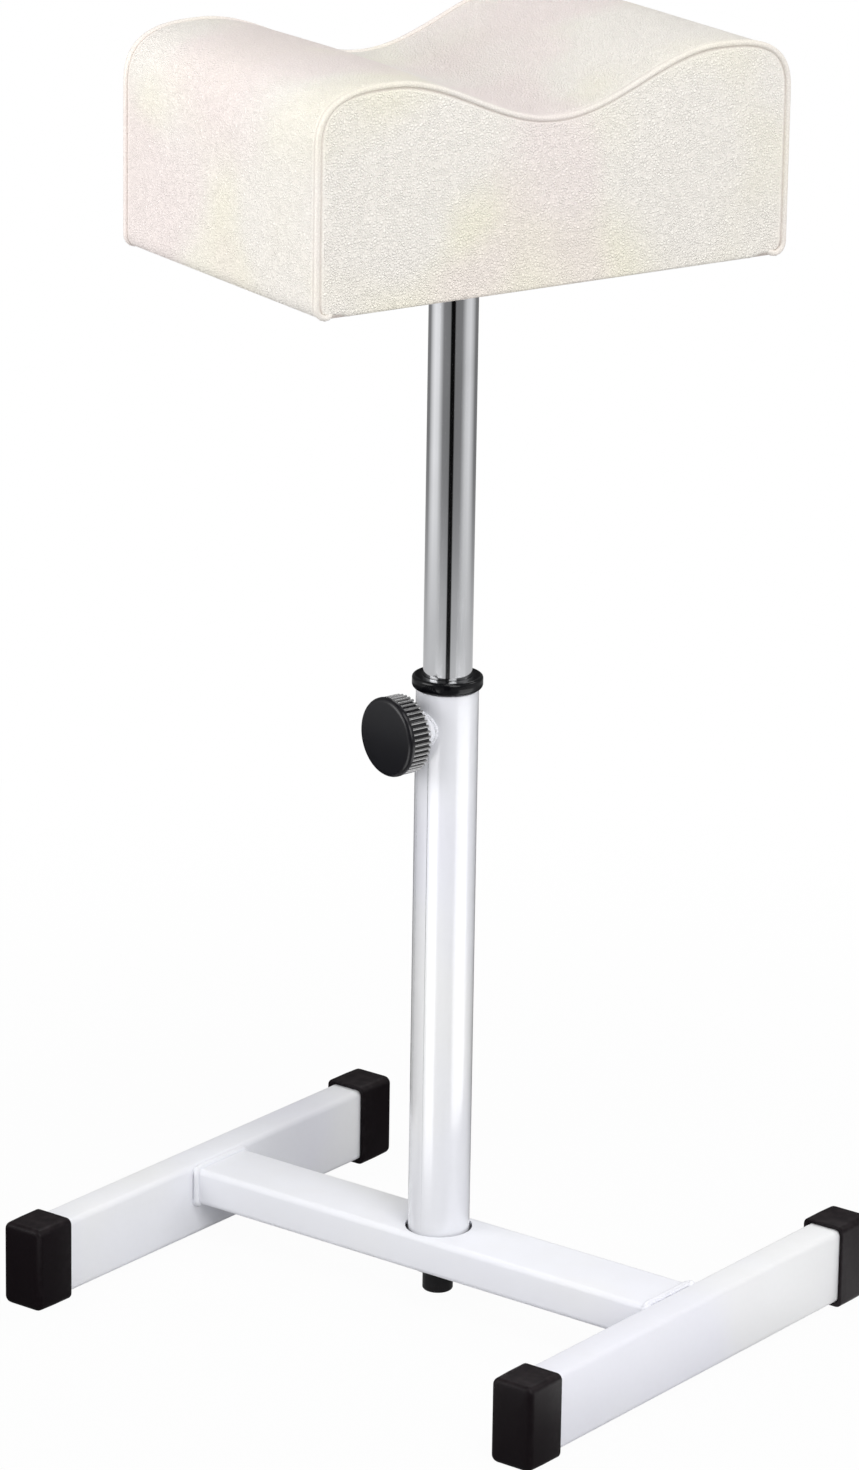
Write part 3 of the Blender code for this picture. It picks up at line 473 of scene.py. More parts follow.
def makeMetal(name, main, roughness, markWidth, markLength, markDepth, metallic=1.0, tarnish=0.25):
    # plated or blackened steel with drawn marks, haze and handling
    look = metalLook
    material, place = startFinish(name)
    shades = [screenColour(main, share) for share in (1.0, 0.9, 1.04)]
    marks = useGroup(fineScratches, place, width=markWidth, length=markLength, share=look["share"])
    hazy = unevenly(place, 40.0, 4.0, roughness, roughness * look["haze"])
    return endFinish(material, {
        "Base Color": patched(place, look["patch"], tarnish, *shades),
        "Metallic": metallic,
        "Roughness": scaled(marks["mask"], look["marked"], hazy),
        "Normal": bumpFrom(marks["height"], markDepth),
    })


leather = makeLeather()
paint = makePaint("whitePaint", paintLook)
columnPaint = makePaint("columnPaint", columnLook)
capPlastic = makePlastic(
    "capPlastic", main=(13, 6, 10), dust=(84, 74, 76), dustAmount=0.14, roughness=0.45, cell=0.0006,
    depth=0.00002, gloss=0.12,
)
knobPlastic = makePlastic(
    "knobPlastic", main=(11, 11, 16), dust=(62, 60, 62), dustAmount=0.05, roughness=0.4, cell=0.0004,
    depth=0.000006, coat=0.34, gloss=0.12, coatRoughness=0.22,
)
ribPlastic = makePlastic(
    "ribPlastic", main=(12, 12, 15), dust=(62, 60, 62), dustAmount=0.04, roughness=0.2, cell=0.0004,
    depth=0.000001, coat=1.0, gloss=1.0, coatRoughness=0.1, coatIor=2.1,
)
collarPlastic = makePlastic(
    "collarPlastic", main=(7, 7, 10), dust=(60, 60, 62), dustAmount=0.03, roughness=0.3, cell=0.0008,
    depth=0.000004, coat=0.32, gloss=0.06,
)
chrome = makeMetal(
    "chromePlate", main=(229, 230, 233), roughness=0.07, markWidth=0.00025, markLength=0.05,
    markDepth=0.0000015, tarnish=0.15,
)
zincSteel = makeMetal(
    "zincSteel", main=(196, 198, 202), roughness=0.3, markWidth=0.0003, markLength=0.002,
    markDepth=0.000006,
)
blackSteel = makeMetal(
    "blackSteel", main=(34, 33, 35), roughness=0.38, markWidth=0.0004, markLength=0.002,
    markDepth=0.000008, metallic=0.5,
)
naturalPlastic = makePlastic(
    "naturalPlastic", main=(226, 222, 210), dust=(200, 196, 186), dustAmount=0.1, roughness=0.45,
    cell=0.0008, depth=0.00001,
)
print("stage: finishes made")


def growth(kind, inputs=None, **settings):
    return put("GeometryNode" + kind, inputs, **settings)[0]


def newGrowth(name, **sizes):
    # a Geometry Nodes tree that starts from a path and ends in one finish
    kinds = {"geometry": "Geometry", "finish": "Material"}
    return newGroup(name, {"geometry": "Geometry"}, "Geometry", **kinds, **sizes)


def endGrowth(given, shape):
    solid = growth("RealizeInstances", {0: shape})
    smooth = growth("SetShadeSmooth", {0: solid})
    finished = growth("SetMaterial", {"Geometry": smooth, "Material": given["finish"]})
    return endGroup(geometry=finished)


def evenPath(given):
    path = growth("MeshToCurve", {0: given["geometry"]})
    return growth("ResampleCurve", {"Curve": path, "Length": given["spacing"]}, mode="LENGTH")


def straightLine(start, end):
    line = growth("CurvePrimitiveLine", {"Start": start, "End": end})
    return growth("ResampleCurve", {"Curve": line, "Count": 13})


def ring(sides, radius):
    return growth("CurvePrimitiveCircle", {"Resolution": sides, "Radius": radius})


def swept(line, profile):
    return growth("CurveToMesh", {"Curve": line, "Profile Curve": profile, "Fill Caps": True})


def vector(**parts):
    return put("CombineXYZ", parts)[0]


def facing(direction, **settings):
    aligned = put("FunctionNodeAlignRotationToVector", {"Vector": direction}, axis="X", **settings)
    return aligned[0]


def copies(points, shape, turn, **more):
    placed = {"Points": points, "Instance": shape, "Rotation": turn, **more}
    return growth("InstanceOnPoints", placed)


def fromMiddle():
    # 0 in the middle of a line and 1 at its ends
    along = growth("SplineParameter")
    return sums("ABSOLUTE", scaled(along, 2.0, -1.0))


def makeBeadTree():
    # a weld: flattened beads one after another along a path
    given = newGrowth("weldBeads", radius=0.0018, spacing=0.0014, unevenness=0.25, seed=4)
    bead = growth("MeshUVSphere", {"Segments": 12, "Rings": 7, "Radius": given["radius"]})
    low, high = (sums(operation, 1.0, given["unevenness"]) for operation in ("SUBTRACT", "ADD"))
    spread = {2: low, 3: high, "Seed": given["seed"]}
    size = put("FunctionNodeRandomValue", spread, data_type="FLOAT")[1]
    shape = vector(X=product(size, 0.8), Y=size, Z=size)
    turn = facing(growth("InputTangent"))
    return endGrowth(given, copies(evenPath(given), bead, turn, Scale=shape))


def addTubes():
    for side in ("left", "right"):
        refined(f"leg_tube_{side}", f"legTube_{side}", paint, "frame", "white_paint")
    refined("cross_tube", "crossTube", paint, "frame", "white_paint", "none")
    refined("column_tube", "columnTube", columnPaint, "frame", "white_paint")
    refined("column_foot_plug", "columnFootPlug", zincSteel, "frame", "zinc_steel")


clampAxis = Vector(joints["knob_turn"]["axis"])
clampPlace = Vector(joints["knob_turn"]["pos_m"])
clampSide = upright.cross(clampAxis)
clampTurn = Matrix((clampSide, clampAxis.cross(clampSide), clampAxis)).transposed().to_4x4()
clampMatrix = Matrix.Translation(clampPlace) @ clampTurn

weld = {
    "radius": 0.0011, "spacing": 0.0008, "corner": 0.003, "setIn": 0.0008, "lift": 0.0018,
    "tubeWidth": 0.040, "tubeHeight": 0.020, "lump": 0.0022, "lumpSpacing": 0.0012, "lumpIn": 0.0013,
    "bossFoot": 0.0084, "bossRadius": 0.0011, "bossSpacing": 0.001, "bossUnevenness": 0.12, "bossSteps": 48,
    "gap": 0.0002, "lumpReach": 0.0008,
}


def addWelds():
    beadTree = makeBeadTree()

    def addWeld(name, path, **values):
        mesh = grown(name, path, beadTree, finish=paint, **values)
        newPiece(name, mesh, paint, "frame", "white_paint")

    low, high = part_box("cross_tube")
    width, height = weld["tubeWidth"], weld["tubeHeight"]
    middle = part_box("column_tube")[0].z + height / 2 - weld["lift"]
    outline = roundedBox(width + weld["gap"], height + weld["gap"], weld["corner"], 4)
    for name, x in (("weldLeft", low.x + weld["setIn"]), ("weldRight", high.x - weld["setIn"])):
        path = pathMesh(name, [(x, y, middle + z) for y, z in outline], cyclic=True)
        addWeld(name, path, radius=weld["radius"], spacing=weld["spacing"], seed=3)
        # the weld starts and stops in a small lump at each corner
        for corner, (y, z) in enumerate([(1, 1), (-1, 1), (-1, -1), (1, -1)]):
            y, z = y * (width / 2 - weld["lumpIn"]), middle + z * (height / 2 - weld["lumpIn"])
            path = pathMesh(name, [(x, y - weld["lumpReach"], z), (x, y + weld["lumpReach"], z)])
            lumpName = f"{name}Lump{corner + 1}"
            addWeld(lumpName, path, radius=weld["lump"], spacing=weld["lumpSpacing"], seed=corner + 5)
    foot, column = weld["bossFoot"], reach("column_tube", Vector((1, 0, 0)))[1]
    points = []
    for step in range(weld["bossSteps"]):
        angle = 2 * math.pi * step / weld["bossSteps"]
        across, up = foot * math.cos(angle), foot * math.sin(angle)
        points.append(clampMatrix @ Vector((across, up, math.sqrt(column**2 - across**2) + weld["gap"])))
    addWeld(
        "bossWeld", pathMesh("bossWeld", points, cyclic=True), radius=weld["bossRadius"],
        spacing=weld["bossSpacing"], unevenness=weld["bossUnevenness"], seed=9,
    )


endCap = {
    "edge": 0.0030, "corner": 0.0034, "endCorner": 0.0040, "wall": 0.0022, "boreCorner": 0.003,
    "endWall": 0.003, "dome": 0.0005, "domeRings": (0.8, 0.45), "lip": 0.0006, "leastCorner": 0.0004,
    "mouth": [(0.0002, 0.0002), (0.0007, 0.0)],
}


def endCapMesh(width, length, height):
    # open mouth at y = 0, closed rounded end at y = length
    cap, outer = endCap, (width, height)
    bore = (width - 2 * cap["wall"], height - 2 * cap["wall"])

    def outlineAt(along, size, radius, inset=0.0):
        radius = max(radius - inset, cap["leastCorner"])
        outline = roundedBox(size[0] - 2 * inset, size[1] - 2 * inset, radius)
        return [(x, along, z) for x, z in outline]

    depth = length - cap["endWall"]
    rings = [outlineAt(along, bore, cap["boreCorner"]) for along in (depth, depth * 0.5, cap["lip"])]
    rings.append(outlineAt(0.0, bore, cap["boreCorner"], -cap["lip"] * 0.5))
    for along, inset in [(0.0, cap["lip"]), *cap["mouth"], (length * 0.5, 0.0)]:
        rings.append(outlineAt(along, outer, cap["corner"], inset))
    for turn in range(0, 91, 15):
        angle = math.radians(turn)
        along = length - cap["dome"] - cap["edge"] * (1 - math.sin(angle))
        rings.append(outlineAt(along, outer, cap["endCorner"], cap["edge"] * (1 - math.cos(angle))))
    face = rings[-1]
    for share in cap["domeRings"]:
        top = length - cap["dome"] + cap["dome"] * (1 - share * share)
        rings.append([(x * share, top, z * share) for x, y, z in face])
    return skin("endCap", rings, 50)


def addEndCaps():
    for along, turn in (("front", math.pi), ("rear", 0.0)):
        for side in ("left", "right"):
            name = f"end_cap_{along}_{side}"
            low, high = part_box(name)
            size, middle = high - low, (low + high) / 2
            mesh = endCapMesh(size.x, size.y, size.z)
            mesh.transform(Matrix.Translation((0, -size.y / 2, 0)))
            mesh.transform(Matrix.Translation(middle) @ Matrix.Rotation(turn, 4, "Z"))
            newPiece(f"endCap_{along}_{side}", mesh, capPlastic, "frame", "black_plastic", name)


def addBaseFixings():
    refined("base_washer", "baseWasher", zincSteel, "frame", "zinc_steel")
    refined("base_lock_washer", "baseLockWasher", blackSteel, "frame", "black_steel", "small")
    refined("base_bolt", "baseBolt", blackSteel, "frame", "black_steel", "full")


collar = {
    "lip": 0.0003, "topRound": 0.0016, "round": 0.0026, "bore": 0.0126, "skirt": 0.0142, "skirtLength": 0.010,
    "easeIn": 0.0005, "easeUp": 0.0006,
}


def addCollar():
    low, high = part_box("guide_collar")
    outer, bottom = (high.x - low.x) / 2, low.z + collar["skirtLength"]
    lip, bore, skirt = collar["lip"], collar["bore"], collar["skirt"]
    curve, topCurve = collar["round"], collar["topRound"]
    profile = [(bore, high.z - lip)] + arc((bore + lip, high.z - lip), lip, 180, 90, 4)[1:]
    profile += arc((outer - topCurve, high.z - topCurve), topCurve, 90, 0, 10)
    profile += arc((outer - curve, bottom + curve), curve, 0, -90, 10)
    profile += [(skirt, bottom), (skirt, low.z + collar["easeUp"])]
    profile += [(skirt - collar["easeIn"], low.z), (bore, low.z)]
    mesh = turned("guideCollar", profile)
    newPiece("guideCollar", mesh, collarPlastic, "frame", "black_gloss_plastic", "guide_collar")


knob = {
    "ribs": 44, "ribWidth": 0.0017, "ribHeight": 0.0013, "ribSink": 0.0003, "faceRound": 0.0026,
    "faceDome": 0.0007, "faceWall": 0.0036, "rimWall": 0.003, "hub": 0.008, "bore": 0.0041,
    "boreDepth": 0.0103, "ease": 0.0005, "hubEase": 0.0004, "innerRound": 0.001, "rimEdge": 0.0004,
    "rimSlope": 0.0012, "ribStart": 0.0002, "ribEnd": 0.0001,
}


def makeRibTree():
    # straight ribs round a rim, rounded over at both ends
    sizes = {label: knob[label] for label in ("ribs", "ribWidth", "ribHeight")}
    given = newGrowth("knobRibs", **sizes, rimRadius=0.02, start=0.03, end=0.04)
    line = straightLine(vector(Z=given["start"]), vector(Z=given["end"]))
    taper = sums("SUBTRACT", 1.0, sums("POWER", fromMiddle(), 7.0))
    taper = sums("MAXIMUM", sums("SQRT", taper), 0.02)
    line = growth("SetCurveRadius", {"Curve": line, "Radius": taper})
    oval = vector(X=given["ribHeight"], Y=product(given["ribWidth"], 0.5), Z=1.0)
    profile = growth("Transform", {"Geometry": ring(14, 1.0), "Scale": oval})
    places = growth("MeshCircle", {"Vertices": given["ribs"], "Radius": given["rimRadius"]})
    turn = facing(growth("InputPosition"), pivot_axis="Z")
    return endGrowth(given, copies(places, swept(line, profile), turn))


def addKnob():
    back, face = reach("clamp_knob", clampAxis, clampPlace)
    low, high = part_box("clamp_knob")
    radius = (high.z - low.z) / 2
    valley = radius - knob["ribHeight"] - knob["ribSink"]
    flat, hub, bore = radius - knob["faceRound"], knob["hub"], knob["bore"]
    rimTop, inner = face - knob["faceWall"], valley - knob["rimWall"]
    shoulder = face - knob["faceDome"] - knob["faceRound"]
    ease, hubEase, turnIn = knob["ease"], knob["hubEase"], knob["innerRound"]
    boreEnd = back + knob["boreDepth"]
    profile = [(0, face)]
    profile += [(flat * share, face - knob["faceDome"] * share**2) for share in (0.25, 0.5, 0.75)]
    profile += arc((flat, shoulder), knob["faceRound"], 90, 0, 8)
    profile += [(radius, shoulder - knob["rimEdge"]), (valley, shoulder - knob["rimSlope"])]
    profile += [(valley, back + ease), (valley - ease, back), (inner + ease, back), (inner, back + ease)]
    profile.append((inner, rimTop - turnIn))
    profile += [(inner - turnIn, rimTop), (hub + turnIn, rimTop), (hub, rimTop - turnIn)]
    profile += [(hub, back + hubEase), (hub - hubEase, back), (bore, back), (bore, boreEnd), (0, boreEnd)]
    body = turned("knobBody", profile, closed=False, sharpAngle=40)
    ribs = grown(
        "knobRibs", pathMesh("knobRibs", [(0, 0, 0), (0, 0, 0.001)]), makeRibTree(), rimRadius=valley,
        start=back + knob["ribStart"], end=shoulder - knob["ribEnd"], finish=ribPlastic,
    )
    body.transform(clampMatrix)
    ribs.transform(clampMatrix)
    newPiece("knobBody", body, knobPlastic, "knob", "black_plastic", "clamp_knob")
    newPiece("knobRibs", ribs, ribPlastic, "knob", "black_plastic")


def addClamp():
    refined("clamp_boss", "clampBoss", paint, "frame", "white_paint")
    refined("clamp_stud", "clampStud", zincSteel, "knob", "zinc_steel", "small")
    refined("clamp_pad", "clampPad", naturalPlastic, "clamp_slug", "natural_plastic")
    addKnob()


def addPost():
    refined("post_tube", "postTube", chrome, "post", "chrome", "small")
    refined("post_end_plug", "postEndPlug", zincSteel, "post", "zinc_steel")
    refined("post_guide_ring", "postGuideRing", naturalPlastic, "glide", "natural_plastic", "full")
    refined("mounting_plate", "mountingPlate", chrome, "post", "chrome", "full")
    for number in range(1, 5):
        refined(f"plate_screw_{number}", f"plateScrew_{number}", zincSteel, "post", "zinc_steel", "small")
        refined(f"tee_nut_{number}", f"teeNut_{number}", zincSteel, "post", "zinc_steel", "thin")


addTubes()
addWelds()
addEndCaps()
addBaseFixings()
addCollar()
addClamp()
addPost()
print("stage: frame, clamp and post dressed")


cushion = {
    "turn": math.radians(71), "ridgeSpacing": 0.190, "valleyDrop": 0.026, "shoulderDrop": 0.030,
    "shoulderPower": 2.8, "lowerCorner": 0.0065, "hem": 0.022, "thickness": 0.0012, "board": 0.0165,
    "sideCrown": 0.003, "endCrown": 0.005, "middle": 0.05,
    "seamGap": 0.0025, "seamDip": 0.0006, "dipReach": 0.007, "dipRise": 0.01,
    "step": 0.004, "pressure": 4.0, "frames": 20, "plainSide": 0.02, "plainTop": 0.06, "plainReach": 0.055,
}
across = Vector((math.cos(cushion["turn"]), math.sin(cushion["turn"]), 0))
along = upright.cross(across)
cushionFloor, cushionTop = reach("cover_wrap", upright)
halfWidth = reach("cover_wrap", across)[1] - cushion["sideCrown"]
halfDepth = reach("cover_end_rear", along)[1] - cushion["endCrown"]
ridgeHeight = cushionTop - cushionFloor - cushion["sideCrown"]
cushionMatrix = Matrix.Translation((0, 0, cushionFloor)) @ Matrix.Rotation(cushion["turn"], 4, "Z")


plywood = {
    "pale": (216, 186, 140), "dark": (170, 130, 84), "stretch": (3.0, 60.0, 60.0), "rings": 2.2,
    "layer": 0.0015, "layerStart": 0.0006, "layerEnd": 0.0009, "relief": 0.0003,
}


def makePlywoodLook():
    # face grain on the flats and thin glued layers on the edges
    material, place = startFinish("plywood")
    turn = {"Rotation": (0, 0, -cushion["turn"]), "Scale": plywood["stretch"]}
    grain = put("Mapping", {"Vector": place, **turn})[0]
    rings = clouds(grain, plywood["rings"], 6.0, Distortion=0.6)
    height = put("SeparateXYZ", {0: place})["Z"]
    layer = sums("PINGPONG", height, plywood["layer"])
    layer = between(layer, plywood["layerStart"], plywood["layerEnd"])
    pale, dark = screenColour(plywood["pale"]), screenColour(plywood["dark"])
    face = blendColours(between(rings, 0.35, 0.7), pale, dark)
    flat = between(sums("ABSOLUTE", facingUp()), 0.6, 0.9)
    return endFinish(material, {
        "Base Color": blendColours(flat, blendColours(layer, pale, dark), face),
        "Roughness": scaled(rings, 0.2, 0.6),
        "Normal": bumpFrom(rings, plywood["relief"]),
    })


def evenly(points, spacing):
    # the same line again with points at an even spacing
    lengths = [0.0]
    for before, after in zip(points, points[1:]):
        lengths.append(lengths[-1] + math.dist(before, after))
    count = max(2, round(lengths[-1] / spacing))
    placed, i = [], 0
    for step in range(count + 1):
        wanted = lengths[-1] * step / count
        while i < len(points) - 2 and lengths[i + 1] < wanted:
            i += 1
        share = (wanted - lengths[i]) / (lengths[i + 1] - lengths[i])
        placed.append(tuple(a + (b - a) * share for a, b in zip(points[i], points[i + 1])))
    return placed


def crossSection(firstHeight=0.0):
    # from the right hem, round the side, over both lobes and down to the left hem
    half, ridge = halfWidth, cushion["ridgeSpacing"] / 2
    shoulder, corner = ridgeHeight - cushion["shoulderDrop"], cushion["lowerCorner"]
    points, steps, power = [], 24, 2 / cushion["shoulderPower"]
    if firstHeight < corner:
        points.append((half - cushion["hem"], 0))
        points += arc((half - corner, corner), corner, -90, 0, 12)[:-1]
        firstHeight = corner
    points.append((half, firstHeight))
    for step in range(steps):
        angle = math.radians(90) * step / steps
        sideways, up = math.cos(angle) ** power, math.sin(angle) ** power
        points.append((ridge + (half - ridge) * sideways, shoulder + cushion["shoulderDrop"] * up))
    for step in range(steps + 1):
        share = 1 - step / steps
        rise = (1 - math.cos(math.pi * share)) / 2
        points.append((ridge * share, ridgeHeight - cushion["valleyDrop"] * (1 - rise)))
    return points + [(-x, z) for x, z in reversed(points[:-1])]


def drawnIn(points, inset):
    # the line moved inwards, with inset a number or a function of the height
    moved = []
    for i, (x, z) in enumerate(points):
        before, after = points[max(i - 1, 0)], points[min(i + 1, len(points) - 1)]
        run, rise = after[0] - before[0], after[1] - before[1]
        length = math.hypot(run, rise)
        depth = inset(z) if callable(inset) else inset
        moved.append((x - rise / length * depth, z + run / length * depth))
    return moved


def crownLift(z):
    # the crown starts above the board and is full at the height of the valley
    full = ridgeHeight - cushion["valleyDrop"]
    share = min(max((z - cushion["board"]) / (full - cushion["board"]), 0), 1)
    return share * share * (3 - 2 * share)


def gridFaces(start, columns, rows):
    corners = [start + r * columns + c for r in range(rows - 1) for c in range(columns - 1)]
    return [(i, i + 1, i + columns + 1, i + columns) for i in corners]


def wrapGrid():
    # rows along the cushion's depth, columns along the cross section
    outline = evenly(crossSection(), cushion["step"])
    reachAlong = halfDepth - cushion["seamGap"]
    rows = round(2 * reachAlong / cushion["step"]) + 1
    points = []
    for row in range(rows):
        share = -1 + 2 * row / (rows - 1)
        fromSeam = (1 - abs(share)) * reachAlong
        dip = cushion["seamDip"] * max(0, 1 - fromSeam / cushion["dipReach"]) ** 2
        line = drawnIn(outline, lambda z: dip * min(z / cushion["dipRise"], 1))
        points += [(x, reachAlong * share, z) for x, z in line]
    return points, len(outline), rows


panel = {
    "outlineStep": 0.001, "sampleStep": 0.0001, "least": 0.0001, "lowShare": 0.45, "rowsShort": 0.02,
    "highIn": 0.012, "highDown": 0.009,
    # how much painted shade the edge row and the rows tucked under the piping take
    "edgeSeamShade": 0.75, "tuckSeamShade": 0.9, "deepSeamShade": 1.0, "tuckOut": 0.0005, "tuckIn": 0.0006,
    "deepOut": 0.0010, "deepIn": 0.0024, "hemRows": (0.35, 0.7, 1.0),
    "hemShort": 0.0005, "hemTouch": 0.0006, "hemFade": 0.006, "hemTurn": 0.3, "hemFlat": 1.2,
}


def panelGrid():
    # a grid stretched over the end's outline, its corners on the four rounded corners
    gap, corner = cushion["seamGap"], cushion["lowerCorner"]
    outline = drawnIn(evenly(crossSection(), panel["outlineStep"]), gap)
    side, floor = halfWidth - corner, gap + panel["least"]
    outline = [(x, max(z, gap)) for x, z in outline if z > floor or abs(x) > side]

    def nearest(x, z):
        return min(range(len(outline)), key=lambda i: math.dist(outline[i], (x, z)))

    low = nearest(halfWidth - corner * panel["lowShare"], corner * panel["lowShare"])
    high = nearest(halfWidth - panel["highIn"], ridgeHeight - panel["highDown"])
    last = len(outline) - 1
    bottom = outline[last - low :] + outline[: low + 1]
    bottom = [p for i, p in enumerate(bottom) if i == 0 or math.dist(p, bottom[i - 1]) > samePlace]
    rows = round((ridgeHeight - panel["rowsShort"]) / cushion["step"]) + 1
    columns = round(2 * halfWidth / cushion["step"]) + 1

    def sampled(line, count):
        line = evenly(line, panel["sampleStep"])
        return [line[round(i * (len(line) - 1) / (count - 1))] for i in range(count)]

    bottom = sampled(bottom, columns)
    top = sampled(outline[high : last - high + 1][::-1], columns)
    left = sampled(outline[last - high : last - low + 1][::-1], rows)
    right = sampled(outline[low : high + 1], rows)
    points = []
    for r in range(rows):
        t = r / (rows - 1)
        for c in range(columns):
            s = c / (columns - 1)
            place = []
            for k in (0, 1):
                sides = (1 - t) * bottom[c][k] + t * top[c][k] + (1 - s) * left[r][k] + s * right[r][k]
                corners = (1 - s) * (1 - t) * bottom[0][k] + s * (1 - t) * bottom[-1][k]
                corners += (1 - s) * t * top[0][k] + s * t * top[-1][k]
                place.append(sides - corners)
            points.append((place[0], -halfDepth + cushion["seamDip"], place[1]))
    return points, columns, rows


pucker = {
    "height": 0.00018, "reach": 0.016, "start": 0.003, "fullHeight": 0.02,
    "wide": 90, "fine": 210, "fineShare": 0.6,
}


def seamPucker(place, fromSeam, seed):
    # faint gathers that die away from the seam
    if fromSeam > pucker["reach"]:
        return 0.0
    fade = (1 - fromSeam / pucker["reach"]) ** 2 * min(fromSeam / pucker["start"], 1)
    wide = noise.noise(Vector((place * pucker["wide"], seed, 0)))
    fine = noise.noise(Vector((place * pucker["fine"], seed + 7, 0)))
    return pucker["height"] * (wide + pucker["fineShare"] * fine) * fade


def outward(before, after):
    # at right angles to an edge of a cover, across the cushion
    return Vector((after.z - before.z, 0, before.x - after.x)).normalized()


def facingOut(points, faces):
    # turns the faces of one cover round if they look at the middle of the cushion
    middle, total = Vector((0, 0, cushion["middle"])), 0.0
    for face in faces:
        a, b, c = (Vector(points[i]) for i in face[:3])
        total += (b - a).cross(c - a).dot(a - middle)
    return faces if total > 0 else [tuple(reversed(face)) for face in faces]


def inflate(name, points, faces, pinned):
    # the covers filled from inside, with their seams held; returns how far each point moves
    mesh = bpy.data.meshes.new(name)
    mesh.from_pydata(points, [], faces)
    bag = newObject(name, mesh)
    bag.vertex_groups.new(name="seams").add(pinned, 1.0, "REPLACE")
    cloth = bag.modifiers.new("cloth", "CLOTH")
    for label, value in {
        "quality": 5, "mass": 0.3, "tension_stiffness": 40, "compression_stiffness": 40,
        "shear_stiffness": 15, "bending_stiffness": 4, "use_pressure": True,
        "uniform_pressure_force": cushion["pressure"], "vertex_group_mass": "seams",
    }.items():
        setattr(cloth.settings, label, value)
    cloth.settings.effector_weights.gravity = 0
    cloth.collision_settings.use_collision = False
    cloth.point_cache.frame_start, cloth.point_cache.frame_end = 1, cushion["frames"]
    for number in range(1, cushion["frames"] + 1):
        bpy.context.scene.frame_set(number)
    shape = bag.evaluated_get(bpy.context.evaluated_depsgraph_get()).to_mesh()
    moves = [Vector(corner.co) - Vector(point) for corner, point in zip(shape.vertices, points)]
    bpy.context.scene.frame_set(1)
    bag.modifiers.remove(cloth)
    bpy.data.objects.remove(bag)
    return moves


def coverShapes():
    wrapPoints, wrapColumns, wrapRows = wrapGrid()
    endPoints, endColumns, endRows = panelGrid()
    points = wrapPoints + endPoints + [(-x, -y, z) for x, y, z in endPoints]
    second, third = len(wrapPoints), len(wrapPoints) + len(endPoints)
    faces = facingOut(points, gridFaces(0, wrapColumns, wrapRows))
    pinned = [i for i in range(second) if i // wrapColumns in (0, wrapRows - 1)]
    pinned += [i for i, p in enumerate(wrapPoints) if p[2] < cushion["board"]]
    for start in (second, third):
        faces += facingOut(points, gridFaces(start, endColumns, endRows))
        for i, point in enumerate(endPoints):
            row, column = divmod(i, endColumns)
            if row in (0, endRows - 1) or column in (0, endColumns - 1) or point[2] < cushion["board"] * 0.6:
                pinned.append(start + i)
    moves = inflate("coverBag", points, faces, sorted(set(pinned)))
    largest = max(move.length for move in moves) * 1000
    print("stage: covers filled, largest move", round(largest, 2), "mm")
    moved = []
    for i, (point, move) in enumerate(zip(points, moves)):
        cap = cushion["sideCrown"] if i < second else cushion["endCrown"]
        if move.length:
            move = move.normalized() * cap * math.tanh(move.length / cap)
        moved.append(Vector(point) + move)
    return (
        (moved[:second], wrapColumns, wrapRows),
        (moved[second:third], endColumns, endRows),
        (moved[third:], endColumns, endRows),
    )


def seamAttribute(mesh, values):
    # how near the piping each point is, for the leather: it sets the painted shade in the groove there and
    # flattens the grain
    mesh.attributes.new("seamShade", "FLOAT", "POINT").data.foreach_set("value", values)


def finishCover(name, points, faces, seamShade, node):
    mesh = bpy.data.meshes.new(name)
    mesh.from_pydata([cushionMatrix @ point for point in points], [], faces)
    work = bmesh.new()
    work.from_mesh(mesh)
    bmesh.ops.recalc_face_normals(work, faces=work.faces)
    middle = cushionMatrix @ Vector((0, 0, cushion["middle"]))
    if sum(f.normal.dot(f.calc_center_median() - middle) * f.calc_area() for f in work.faces) < 0:
        bmesh.ops.reverse_faces(work, faces=work.faces)
    work.to_mesh(mesh)
    work.free()
    mesh.shade_smooth()
    seamAttribute(mesh, seamShade)
    piece = newPiece(name, mesh, leather, "post", "ivory_leather", node)
    finer = piece.modifiers.new("finer", "SUBSURF")
    finer.levels = finer.render_levels = 1
    thickness = piece.modifiers.new("thickness", "SOLIDIFY")
    thickness.thickness, thickness.offset = cushion["thickness"], -1


# seams: how much painted shade each row takes, from the tucked rows under the piping inwards
wrapTuck = {"seams": (1.0, 0.9, 0.75, 0.0), "insets": (0.0008, 0.0022), "reaches": (0.0006, 0.0011)}


def addWrap(points, columns, rows):
    # the seam edges get two tucked rows that run in under the piping, and these rows take painted shade for
    # the groove there
    seamLine = halfDepth - cushion["seamGap"]
    placed = []
    for r in range(rows):
        row = points[r * columns : (r + 1) * columns]
        fromSeam = (min(r, rows - 1 - r) / (rows - 1)) * 2 * seamLine
        shifted = []
        for i, point in enumerate(row):
            out = outward(row[max(i - 1, 0)], row[min(i + 1, columns - 1)])
            gather = seamPucker(i * cushion["step"], fromSeam, 1 if r < rows / 2 else 2)
            shifted.append(point + out * (gather * min(point.z / pucker["fullHeight"], 1)))
        placed.append(shifted)

    def tucked(row, inset, further):
        y = math.copysign(seamLine + further, row[0].y)
        return [Vector((x, y, max(z, 0.0))) for x, z in drawnIn([(p.x, p.z) for p in row], inset)]

    front, rear = placed[0], placed[-1]
    for inset, further in zip(wrapTuck["insets"], wrapTuck["reaches"]):
        placed = [tucked(front, inset, further)] + placed + [tucked(rear, inset, further)]
    seamShade = []
    for r, row in enumerate(placed):
        seamShade += [wrapTuck["seams"][min(r, len(placed) - 1 - r, 3)]] * len(row)
    flat = [point for row in placed for point in row]
    finishCover("cushionWrap", flat, gridFaces(0, columns, len(placed)), seamShade, "cover_wrap")


